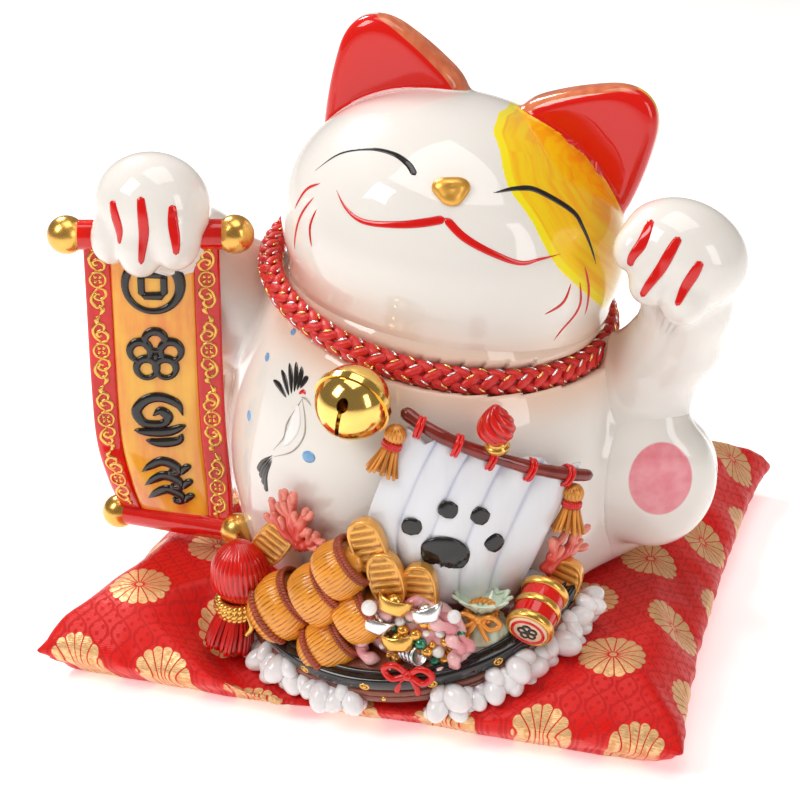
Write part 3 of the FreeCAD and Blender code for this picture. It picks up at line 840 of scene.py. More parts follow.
    def skin(self, name: str, p: Array) -> Array:
        """The field whose nought is the piece's visible surface."""
        total, lead = self.joined(name, p)
        own = self.own(name, p)
        sunk = total + np.minimum(0.28 * np.maximum(-lead, 0.0), 1.8)
        return self.collar_room(np.maximum(sunk, own - 7.0), p)

    def rays(self, name: str, directions: Array) -> Array:
        """Points of a piece's surface along directions from its middle."""
        return reach(lambda p: self.skin(name, p), self.middles[name], unit(directions), 170.0)

    def settle(self, name: str, p: Array) -> tuple[Array, Array]:
        """Move points near a piece onto its surface, and give the outward directions there."""
        on = self.rays(name, p - self.middles[name])
        return on, slope(lambda q: self.skin(name, q), on)

    def on_head(self, lon: Array, lat: Array) -> tuple[Array, Array]:
        """Surface points and outward directions at longitudes and latitudes of the head."""
        a, b = np.radians(lon), np.radians(lat)
        d = np.stack([np.cos(b) * np.sin(a), -np.cos(b) * np.cos(a), np.sin(b)], -1) * self.head_radii
        return self.settle("head_shell", self.head_at + d @ self.roll.T)

    def build(self) -> None:
        """Make every glazed piece."""
        for name in self.family:
            rows, cols = self.grid if name not in ("body_shell", "head_shell") else (230, 380)
            points = self.rays(name, sky(rows, cols, self.roll if name == "head_shell" else None))
            Pile().grid(points, **self.paint(name, points)).piece("glazed_" + name, GLAZE, name)

    def paint(self, name: str, p: Array) -> dict[str, Array]:
        """The painted fields of a piece."""
        q = p - NECK_AT
        up = q @ NECK_AXIS
        out = np.linalg.norm(q - up[..., None] * NECK_AXIS, axis=-1)
        near = np.hypot(out - COLLAR_RADIUS, up) - self.cord_radius
        # Painted warm shade, strongest against the collar cord and gone within about 25 mm.
        fields = {"collar_shade": np.exp(-np.square(np.maximum(near, 0.0) / 13.0))}
        if name == "head_shell":
            fields["patch"], fields["along"] = self.patch(p)
        elif name in self.ears:
            ear = self.ears[name]
            through = ear.local(p)[..., 2]
            inward = ear.local(self.head_at + vec(0, 0, 70))[0]
            side = ear.local(p)[..., 0] * (1 if inward > 0 else -1)
            front = -through - 1.0
            fields["red"] = np.where(front > 0, 2.0, front + 1.0)
            facing_in = slope(ear.distance, p, 2.5) @ unit(
                (1 if inward > 0 else -1) * (ear.end - ear.start))
            fields["strip"] = np.minimum((facing_in - 0.42) * 9.0, side * 0.5 + 1.0)
            if name == "left_ear":
                fields["patch"] = np.full(p.shape[:-1], 30.0)
            # The ears get no painted collar shade.
            fields["collar_shade"] = fields["collar_shade"] * 0.0
        elif name == "left_leg":
            at, turn = vec(116, -44, 92), turn_about(vec(0, 0, 1), 20.0)
            local = (p - at) @ turn
            oval = np.hypot((local[..., 0] - 0.0) / 15.0, (local[..., 2] - 7.5) / 18.0)
            fields["pink"] = np.where(local[..., 1] < 0, (1.0 - oval) * 16.0, -1.0)
        return fields

    def patch(self, p: Array) -> tuple[Array, Array]:
        """Millimetres inside the yellow patch and along its border, from the nearest border point."""
        loop = [(26, 62), (28, 48), (37, 34), (46, 19), (55, 10), (70, -2), (84, -10), (104, -6),
                (125, 4), (142, 28), (155, 52), (165, 68), (150, 79), (100, 84.5), (50, 83), (25, 74),
                (26, 62)]
        way = smooth_path(loop, 260)
        on, out = self.on_head(way[:, 0], way[:, 1])
        inward = unit(np.cross(np.gradient(on, axis=0), out))
        flat = p.reshape(-1, 3)
        squares = (flat**2).sum(1)[:, None] - 2 * flat @ on.T + (on**2).sum(1)[None, :]
        nearest = squares.argmin(axis=1)
        distance = np.sqrt(np.maximum(squares[np.arange(len(flat)), nearest], 0.0))
        middle, _ = self.on_head(np.array([75.0]), np.array([35.0]))
        towards = ((middle - on) * inward).sum(-1).mean()
        side = ((flat - on[nearest]) * inward[nearest]).sum(-1) * (1 if towards > 0 else -1)
        steps = np.linalg.norm(np.diff(on, axis=0, prepend=on[:1]), axis=1).cumsum()
        along = steps[nearest] + ((flat - on[nearest]) * unit(np.gradient(on, axis=0))[nearest]).sum(-1)
        return ((distance * np.sign(side)).reshape(p.shape[:-1]), along.reshape(p.shape[:-1]))


@dataclass
class Brushwork:
    """Raised glaze strokes: closed flat tubes half sunk along curves on a glazed piece."""

    cat: Ceramic
    proud: float = 0.38

    def stroke(self, pile: Pile, on: Array, out: Array, widths: Array) -> None:
        """Add one stroke: a flat tube whose half width follows the widths."""
        half = np.maximum(widths, 0.12)
        pile.grid(tube(on, half, out, 10, np.minimum(self.proud / half, 1.0)))

    def along(self, pile: Pile, name: str, points: Sequence, width: float, shape: str = "both",
              count: int = 40) -> None:
        """A stroke through points near a piece.

        Args:
            pile: Where the stroke goes.
            name: The piece under it.
            points: Control points in millimetres.
            width: The widest half width.
            shape: Which ends are pointed: both, first or last.
            count: How many points along it.
        """
        on, out = self.cat.settle(name, smooth_path(points, count))
        self.stroke(pile, on, out, width * self.swell(count, shape))

    def on_face(self, pile: Pile, angles: Sequence, width: float, shape: str = "both",
                count: int = 60) -> None:
        """A stroke through longitudes and latitudes of the head."""
        way = smooth_path(angles, count)
        on, out = self.cat.on_head(way[:, 0], way[:, 1])
        self.stroke(pile, on, out, width * self.swell(count, shape))

    @staticmethod
    def swell(count: int, shape: str) -> Array:
        """Half widths along a stroke, from 0 to 1."""
        t = np.linspace(0, 1, count)
        ends = {"both": np.sin(math.pi * t) ** 0.6, "first": np.minimum(1, (t * 1.25) ** 0.8),
                "last": np.minimum(1, ((1 - t) * 1.25) ** 0.8),
                "claw": 0.45 + 0.55 * np.sin(math.pi * np.clip(t * 0.9 + 0.1, 0, 1)) ** 0.8,
                "dot": np.sqrt(np.clip(1 - (2 * t - 1) ** 2, 0, 1))}[shape]
        if shape == "dot":
            return ends
        round_off = np.sqrt(np.clip(np.minimum(t, 1 - t) * 26 + 0.02, 0, 1))
        return ends * round_off

    def build(self) -> None:
        """Face, claws and the chest's painted bird."""
        eyes, mouth = Pile(), Pile()
        self.on_face(eyes, [(-52, 22), (-47, 34), (-37, 42), (-26, 45), (-17, 44), (-11, 41)], 1.5,
                     "first")
        self.on_face(eyes, [(22, 43), (32, 46), (43, 46), (58, 38), (62, 30), (66, 16)], 1.55)
        self.on_face(mouth, [(-36, 22), (-28, 18), (-20, 17), (-9, 21), (-1, 25), (6, 29)], 2.0,
                     "first")
        self.on_face(mouth, [(6, 29.3), (14, 24), (25, 20), (34, 18), (41, 20), (49, 22)], 1.85,
                     "last")
        for way in ([(-45, 20), (-50, 14), (-52, 4)], [(-44, 14), (-47, 3), (-48, -12)],
                    [(-40, 11), (-40, 3), (-37, -4)], [(54, 10), (52, 2), (46, -3)],
                    [(58, 10), (60, -2), (54, -16)], [(60, 16), (63, 6), (65, -6)]):
            self.on_face(mouth, way, 0.8, "both", 30)
        claws = {"right_paw": ([(-10.6, -21.6, 8.4), (-7.8, -23.9, -2.3), (-7, -21.5, -11.4)],
                               [(4.1, -22, 11.7), (5.7, -24.3, -3.2), (2.8, -19.2, -16.4)],
                               [(17.8, -17.7, 7.5), (17.7, -18.8, -3.8), (15.7, -17.2, -11.5)]),
                 "left_paw": ([(-13.1, -13.2, 18.1), (-15.4, -19.3, 9.2), (-19.2, -18.9, -1.6)],
                              [(0.3, -20.5, 14.3), (-5.6, -24.5, 2.1), (-11.7, -20, -11.3)],
                              [(10.9, -22.8, 4.6), (6.5, -24, -4.4), (1.1, -21.2, -13.1)])}
        for name, ways in claws.items():
            for way in ways:
                self.along(mouth, name, np.array(way) + self.cat.middles[name], 2.5, "claw", 30)
        eyes.piece("eyes", STROKE_BLACK)
        mouth.piece("mouth_whiskers_claws", STROKE_RED)
        self.nose()
        self.bird()

    def nose(self) -> None:
        """A gilt nose: a rounded three-cornered pad, radius by angle with three soft lobes."""
        centre, out = self.cat.on_head(np.array([5.0]), np.array([40.0]))
        normal = out[0]
        across = unit(np.cross(vec(0, 0, 1), normal))
        across = across if across[0] > 0 else -across
        down = np.cross(normal, across)
        down = down if down[2] < 0 else -down
        a = angles(72)[None, :]
        h = np.linspace(-0.45, 0.49, 22)[:, None] * math.pi
        r = np.cos(h) ** 0.8 * 7.3 * (1 + 0.11 * np.cos(3 * (a - math.pi / 2)))
        tilt = 4.2 * np.sin(h) * (1.0 - 0.12 * np.sin(a))
        pad = (centre[0] + r[..., None] * (1.1 * np.cos(a)[..., None] * across
                                           + 0.92 * np.sin(a)[..., None] * down)
               + tilt[..., None] * normal)
        Pile().grid(pad).piece("gilt_nose", NOSE_GILT, "nose")

    def bird(self) -> None:
        """A plain long-necked bird of our own: body, neck, two wings of brush feathers, a tail."""
        lines, dark, white, dots = Pile(), Pile(), Pile(), Pile()
        body = "body_shell"
        for x, z, r in ((-60, 153, 2.2), (-64, 121, 2.6), (-18, 110, 2.8), (-44, 166, 1.8)):
            self.along(dots, body, [(x - r, -90, z), (x, -90, z), (x + r, -90, z)], r, "dot", 20)
        for way, w in (([(-33, -108, 141), (-36, -108, 135), (-40, -108, 128), (-41, -108, 121),
                         (-46, -105, 113)], 0.45),
                       ([(-33, -108, 141), (-30, -110, 133), (-29, -110, 124), (-35, -110, 116),
                         (-46, -106, 110)], 0.45),
                       ([(-34, -108, 142), (-31, -110, 142), (-27.5, -110, 139)], 0.5)):
            self.along(lines, body, way, w, "both", 36)
        self.along(white, body, [(-35, -108, 138), (-36, -110, 128), (-40, -108, 117)], 3.6, "both", 30)
        for i in range(6):
            t = i / 5.0
            root = vec(-42 + 8 * t, -104, 139 + 5 * t)
            tip = vec(-54 + 24 * t, -100, 146 + 9 * math.sin(math.pi * t) + 2 * t)
            self.along(dark, body, [root, 0.5 * (root + tip) + vec(-1.0 + 2 * t, 0, 1.6), tip], 1.5,
                       "both", 22)
        for i in range(4):
            root = vec(-46, -104, 110 - 1.0 * i)
            tip = vec(-56 + 2.6 * i, -100, 99 - 2.6 * i)
            self.along(dark, body, [root, 0.5 * (root + tip) + vec(-2.2, 0, 0), tip], 1.7, "first", 22)
        crown = Pile()
        self.along(crown, body, [(-36, -108, 143.5), (-33.5, -108, 145), (-31.5, -108, 143.5)], 1.0,
                   "both", 16)
        dots.piece("chest_dots", STROKE_BLUE)
        lines.piece("bird_outline", STROKE_GREY)
        white.piece("bird_body", STROKE_WHITE)
        dark.piece("bird_feathers", STROKE_BLACK)
        crown.piece("bird_crown", STROKE_RED)


# Scroll -------------------------------------------------------------------------------------------
class Motif(Enum):
    """Plain brush figures, each a list of strokes of (across, up, half width) in a unit square."""

    COIN = "coin"
    BLOSSOM = "blossom"
    CLOUD = "cloud"
    WAVE = "wave"
    PAW = "paw"

    def strokes(self) -> list[Array]:
        """The figure's strokes, each with evenly spaced points."""
        a = np.linspace(0, TAU, 40)
        if self is Motif.COIN:
            ring = np.stack([0.88 * np.sin(a), 0.88 * np.cos(a), 0.15 + 0.05 * np.sin(a + 1)], -1)
            bars = [np.array([(-0.36, y, 0.12), (0.36, y, 0.15)]) for y in (-0.36, 0.36)]
            bars += [np.array([(x, -0.36, 0.12), (x, 0.36, 0.12)]) for x in (-0.36, 0.36)]
            return [ring] + [smooth_path(bar, 10) for bar in bars]
        if self is Motif.BLOSSOM:
            out = [np.stack([0.52 * np.sin(k) + 0.33 * np.sin(a), 0.52 * np.cos(k) + 0.33 * np.cos(a),
                             0.12 + 0.03 * np.cos(a)], -1) for k in np.arange(5) * TAU / 5]
            return out + [smooth_path([(-0.08, 0, 0.14), (0, 0, 0.17), (0.08, 0, 0.14)], 6)]
        if self is Motif.CLOUD:
            ways = ([(-0.2, 0.25, 0.10), (0.05, 0.42, 0.16), (0.30, 0.22, 0.17), (0.16, -0.02, 0.15),
                     (-0.2, -0.06, 0.14), (-0.55, 0.02, 0.16), (-0.72, 0.42, 0.18),
                     (-0.40, 0.80, 0.18), (0.10, 0.90, 0.17), (0.62, 0.66, 0.15), (0.78, 0.25, 0.08)],
                    [(-0.85, -0.28, 0.06), (-0.4, -0.34, 0.16), (0.3, -0.32, 0.17),
                     (0.85, -0.10, 0.10)],
                    [(-0.5, -0.66, 0.08), (0.0, -0.74, 0.17), (0.55, -0.66, 0.15),
                     (0.72, -0.42, 0.06)])
            return [smooth_path(way, 44) for way in ways]
        if self is Motif.WAVE:
            out = []
            for k in range(3):
                y = 0.55 - 0.55 * k
                out.append(smooth_path([(-0.85, y - 0.25, 0.06), (-0.45, y + 0.05, 0.15),
                                        (-0.05, y + 0.22, 0.18), (0.35, y + 0.05, 0.17),
                                        (0.40, y - 0.2, 0.13), (0.15, y - 0.22, 0.10),
                                        (0.16, y - 0.04, 0.07)], 36))
                out.append(smooth_path([(0.5, y - 0.25, 0.06), (0.68, y + 0.0, 0.14),
                                        (0.88, y + 0.1, 0.07)], 14))
            return out
        pads = [smooth_path([(-0.34, -0.50, 0.22), (-0.12, -0.30, 0.33), (0.12, -0.30, 0.33),
                             (0.34, -0.50, 0.22)], 24)]
        for x, y, lean in ((-0.66, 0.02, -0.12), (-0.25, 0.42, -0.05), (0.25, 0.42, 0.05),
                           (0.66, 0.02, 0.12)):
            pads.append(smooth_path([(x - lean * 0.3, y - 0.13, 0.15), (x, y, 0.20),
                                     (x + lean * 0.3, y + 0.14, 0.14)], 12))
        return pads

    def lay(self, pile: Pile, surface: Callable[[Array, Array], tuple[Array, Array]], at: tuple,
            size: float, high: float = 0.9) -> None:
        """Put the figure on a surface.

        Args:
            pile: Where the strokes go.
            surface: Gives points and outward directions for millimetres across and up.
            at: The figure's middle on the surface.
            size: Half its width.
            high: How far the strokes stand proud.
        """
        for way in self.strokes():
            t = np.linspace(0, 1, len(way))
            closed = np.hypot(*(way[0] - way[-1])[:2]) < 1e-6
            width = way[:, 2] * size * (1.0 if closed else np.sqrt(
                np.clip(np.minimum(t, 1 - t) * 9 + 0.06, 0, 1)))
            on, out = surface(at[0] + way[:, 0] * size, at[1] + way[:, 1] * size)
            if closed:
                pile.grid(tube(on[:-1], width[:-1], out[:-1], 12, high / width[:-1], True), loop=True)
            else:
                pile.grid(tube(on, width, out, 12, np.minimum(high / width, 1.0)))


@dataclass
class Scroll:
    """The hanging scroll: two rollers with gilt knobs and a stiff glazed banner that twists as it falls."""

    width: float = 62.0
    thick: float = 3.0
    border: float = 12.0
    rollers: tuple = ((vec(-115, -76, 199), 17.3, 0.0, 38.3, 7.0, 9.0),
                      (vec(-112, -68, 49.5), -12.0, 0.09, 35.0, 6.0, 8.5))
    rows: tuple = ((198, 17.3, -76, -115), (165, 17.3, -76.5, -115), (130, 17.0, -77, -115),
                   (98, 15.5, -76.5, -114.6), (72, 4.0, -73.5, -113.0), (50, -12.0, -68, -112.5))

    def surface(self, u: Array, z: Array, proud: float = 0.0) -> tuple[Array, Array]:
        """Points and outward directions of the banner, for millimetres across and height."""
        rows = smooth_path(self.rows, 200)[::-1]
        yaw = np.radians(np.interp(z, rows[:, 0], rows[:, 1]))
        y, x = (np.interp(z, rows[:, 0], rows[:, k]) for k in (2, 3))
        out = np.stack([np.sin(yaw), -np.cos(yaw), 0 * yaw], -1)
        drop = 0.06 * u * smooth_step(-z, -80.0, -50.0)
        on = np.stack([x + u * np.cos(yaw), y + u * np.sin(yaw), z + drop], -1)
        return on + out * (self.thick * 0.5 + proud), out

    def strip(self, pile: Pile, low: float, high: float, proud: float) -> None:
        """A closed strip of the banner between two distances across, with rounded edges."""
        z, u = np.meshgrid(np.linspace(199, 50, 110), np.linspace(low, high, 14), indexing="ij")
        edge = np.minimum(u - low, high - u)
        swell = -0.7 * np.exp(-np.square(edge / 0.8))
        on, out = self.surface(u, z, proud)
        back, _ = self.surface(u, z, -self.thick)
        pile.grid(slab(on + out * swell[..., None], back), closed=False)

    def build(self) -> None:
        """Rollers, knobs, banner, borders, gilt ornament and the four figures."""
        for name, (at, yaw, rise, half, r, knob) in zip(("upper", "lower"), self.rollers):
            along = unit(vec(math.cos(math.radians(yaw)), math.sin(math.radians(yaw)), rise))
            h = np.linspace(-half, half, 60)
            swell = r - 0.5 * np.exp(-np.square((np.abs(h) - half) / 1.6)) * 1.5
            pile = Pile().grid(lathe(np.stack([swell, h], -1), at, along, 40))
            pile.piece(f"scroll_{name}_roller_glazed", SCROLL_RED,
                       f"scroll_{name}_roller", sharp=50)
            pile = Pile()
            for side in (-1, 1):
                a = np.linspace(-math.pi / 2, math.pi / 2 - 0.05, 30)
                neck = 0.52 * knob * np.exp(-np.square((a + math.pi / 2) / 0.35))
                profile = np.stack([knob * np.cos(a) + neck, knob * np.sin(a)], -1)
                pile.grid(lathe(profile, at + along * side * half, along * side, 36))
            pile.piece(f"scroll_{name}_knobs_gilt", GILT, f"scroll_{name}_knobs")
        ground, borders, gilt, ink = Pile(), Pile(), Pile(), Pile()
        edge = self.width / 2
        self.strip(ground, -edge + self.border - 1, edge - self.border + 1, -0.4)
        self.strip(borders, -edge, -edge + self.border, 0.0)
        self.strip(borders, edge - self.border, edge, 0.0)
        for side in (-1, 1):
            mid = side * (edge - self.border * 0.5)
            for k in range(4):
                self.ornament(gilt, mid, 178.0 - 35.0 * k, side)
        for motif, z in zip((Motif.COIN, Motif.BLOSSOM, Motif.CLOUD, Motif.WAVE), (175, 140, 106, 74)):
            motif.lay(ink, self.surface, (0.0, z), 14.5, 1.1)
        ground.piece("scroll_banner_ground", BANNER, "scroll_banner", weld=True)
        borders.piece("scroll_banner_borders", SCROLL_RED, weld=True)
        gilt.piece("scroll_gilt_ornament", GILT)
        ink.piece("scroll_figures", STROKE_BLACK)

    def ornament(self, pile: Pile, mid: float, z: float, side: int) -> None:
        """One repeat of the border: a ringed flower and two curling sprays."""
        a = angles(28)
        on, out = self.surface(mid + 3.6 * np.cos(a), z + 3.6 * np.sin(a), 0.1)
        pile.grid(tube(on, 0.62, out, 8, loop=True), loop=True)
        for k in range(4):
            u, w = math.cos(k * TAU / 4 + 0.785), math.sin(k * TAU / 4 + 0.785)
            way = np.array([(0.5 * u, 0.5 * w, 0.3), (1.6 * u, 1.6 * w, 0.9), (2.7 * u, 2.7 * w, 0.3)])
            on, out = self.surface(mid + way[:, 0], z + way[:, 1], 0.1)
            pile.grid(tube(on, way[:, 2], out, 8, 0.6))
        for up in (-1, 1):
            for flip, reach_ in ((1, 1.0), (-1, 0.72)):
                way = smooth_path([(0.0, 4.2), (2.6 * flip, 6.8 * reach_), (3.4 * flip, 10.5 * reach_),
                                   (0.8 * flip, 13.6 * reach_), (-1.8 * flip, 12.0 * reach_),
                                   (-0.9 * flip, 9.6 * reach_), (0.6 * flip, 10.4 * reach_)], 34)
                t = np.linspace(0, 1, 34)
                on, out = self.surface(mid + side * way[:, 0], z + up * way[:, 1], 0.1)
                pile.grid(tube(on, 0.35 + 0.55 * np.sin(math.pi * t) ** 0.7, out, 8, 0.8))
            leaf = smooth_path([(0, 12.5), (1.6 * up, 15.0), (0, 17.4)], 14)
            on, out = self.surface(mid + side * leaf[:, 0], z + up * leaf[:, 1], 0.1)
            pile.grid(tube(on, 0.2 + 1.1 * np.sin(math.pi * np.linspace(0, 1, 14)), out, 8, 0.5))


# Boat and cargo -----------------------------------------------------------------------------------
@dataclass
class Belly:
    """The front of the body, which the sail and the cargo are laid out against."""

    radius: float = 98.0
    height: float = 121.0

    def on(self, x: Array, z: Array, proud: Array | float) -> tuple[Array, Array]:
        """The points in front of the belly at x and z, and the outward directions there."""
        x, z, proud = np.broadcast_arrays(*(np.asarray(value, float) for value in (x, z, proud)))
        r, h = self.radius + proud, self.height + proud
        u, w = (x - BODY_AT[0]) / r, (z - BODY_AT[2]) / h
        v = -np.sqrt(np.maximum(0.0, 1.0 - u * u - w * w))
        return (np.stack([x, BODY_AT[1] + v * r, z], -1), unit(np.stack([u / r, v / r, w / h], -1)))


@dataclass
class Boat:
    """The treasure boat's hull: bands carried round a circle through prow, keel and stern."""

    prow: Array = field(default_factory=lambda: vec(-56, -118, 38))
    keel: Array = field(default_factory=lambda: vec(26, -151, 30))
    stern: Array = field(default_factory=lambda: vec(91, -101, 60))

    def __post_init__(self) -> None:
        """Work out the circle."""
        a, b = self.prow - self.stern, self.keel - self.stern
        n = np.cross(a, b)
        self.centre = self.stern + np.cross((a @ a) * b - (b @ b) * a, n) / (2 * (n @ n))
        self.axis = unit(n) * (1 if n[2] > 0 else -1)
        self.radius = float(np.linalg.norm(self.prow - self.centre))
        self.first = unit(self.prow - self.centre)
        last = unit(self.stern - self.centre)
        self.sweep = math.atan2(self.axis @ np.cross(self.first, last), self.first @ last) % TAU

    def at(self, share: Array, out: Array, up: Array) -> Array:
        """Points at a share of the way from prow to stern, out from the gunwale and up."""
        share, out, up = np.broadcast_arrays(*(np.asarray(v, float) for v in (share, out, up)))
        a = (share * self.sweep)[..., None]
        spoke = np.cos(a) * self.first + np.sin(a) * np.cross(self.axis, self.first)
        return self.centre + spoke * (self.radius + out[..., None]) + self.axis * up[..., None]

    def band(self, profile: Array, taper: float = 0.0, rows: int = 120) -> Array:
        """A closed profile of (out, up) carried from prow to stern, smaller at both ends."""
        share = np.linspace(-0.012, 1.012, rows)[:, None]
        small = 1.0 - taper * (1.0 - np.sqrt(np.clip(np.minimum(share + 0.02, 1.02 - share) * 9, 0, 1)))
        middle = profile.mean(axis=0)
        around = middle + (profile[None, :, :] - middle) * small[..., None]
        return self.at(share, around[..., 0], around[..., 1])

    def build(self) -> None:
        """Gunwale with its lip, ring rivets, planked hull, bed and foam."""
        a = angles(28)
        box = np.stack([2.9 * np.sign(np.cos(a)) * np.abs(np.cos(a)) ** 0.55,
                        0.9 + 3.7 * np.sign(np.sin(a)) * np.abs(np.sin(a)) ** 0.55], -1)
        rail = Pile()
        rail.grid(self.band(box, 0.45))
        rail.grid(self.band(np.stack([-2.9 + 1.1 * np.cos(a), 4.1 + 0.9 * np.sin(a)], -1), 0.3))
        rail.piece("boat_gunwale_lacquer", BLACK, "boat_gunwale")
        rivets = Pile()
        for share in (0.10, 0.26, 0.42, 0.58, 0.74, 0.90):
            spot = self.at(share, 2.7, 0.6)
            spoke = unit(spot - self.centre - self.axis * 0.6)
            ring = angles(18)[:, None]
            path = spot + 1.9 * (np.cos(ring) * np.cross(self.axis, spoke) + np.sin(ring) * self.axis)
            rivets.grid(tube(path, 0.55, spoke, 8, loop=True), loop=True)
            rivets.grid(ball(spot, 0.95, 7, 10))
        for share in (0.14, 0.30, 0.46, 0.62, 0.80):
            rivets.grid(ball(self.at(share, 3.4, -6.6), 1.3, 7, 12))
        rivets.piece("gunwale_ring_rivets", GILT, "gunwale_rivets")
        t = np.linspace(0, 1, 40)
        ridge = 0.8 * np.abs(np.sin(t * math.pi * 4)) ** 0.5
        outer = np.stack([2.2 + 1.6 * np.sin(t * math.pi * 0.9) - 7.5 * t**4 + ridge, -2.2 - 12.0 * t], -1)
        inner = np.array([(-22.0, -13.5), (-22.0, -4.6), (-2.6, -2.2)])
        profile = np.concatenate([outer, inner])
        # Second tone: dark joints in the grooves between the planks, and painted shade on the hull's inner
        # face.
        wash = np.concatenate([np.clip(1.0 - ridge / 0.45, 0, 1) * 0.9, [0.8, 0.8, 0.8]])
        hull = Pile().grid(self.band(profile, 0.35), wash=wash)
        hull.piece("boat_hull_planks", PLANKS, "boat_hull", sharp=60)
        self.foam()

    def foam(self) -> None:
        """Rounded lobes of foam: a large lobe at each crest with small ones in a sunflower order round it."""
        pile = Pile()
        for first, last, count in ((0.0, 0.36, 7), (0.60, 1.0, 8)):
            for i in range(count):
                share = first + (last - first) * i / (count - 1)
                r = 8.4 + 1.3 * math.cos(2.4 * i)
                middle = self.at(share, 1.0, -12.5 - 1.5 * math.sin(1.7 * i))
                away = unit(middle - self.centre)
                k = np.arange(8)
                turn, low = k * 2.39996 + i, 0.15 + 1.15 * np.sqrt((k + 0.5) / 8)
                for a, b, n in zip(turn, low, k):
                    way = (math.cos(b) * away + math.sin(b) * (
                        math.cos(a) * np.cross(self.axis, away) + math.sin(a) * self.axis))
                    size = r * (0.50 + 0.19 * math.sin(2.7 * n + i))
                    spot = middle + way * (r - 0.15 * size)
                    spot[2] = max(spot[2], size * 0.7 + 13.0)
                    tall = np.stack([np.cross(way, self.axis + 0.01), self.axis, way])
                    p = ball(spot, vec(0.9, 1.0, 1.35) * size, 10, 16, np.linalg.qr(tall.T)[0])
                    # Painted shade: pinkish grey in the creases deep in each cluster, and on the middle lobe
                    # that shows between the others.
                    depth = ((p - middle) @ way - 0.55 * r) / (0.5 * r)
                    pile.grid(p, wash=np.clip(1.0 - depth, 0, 1))
                pile.grid(ball(middle, r * 0.82, 12, 18), wash=0.9)
        pile.piece("foam_lobes", FOAM, "waves")


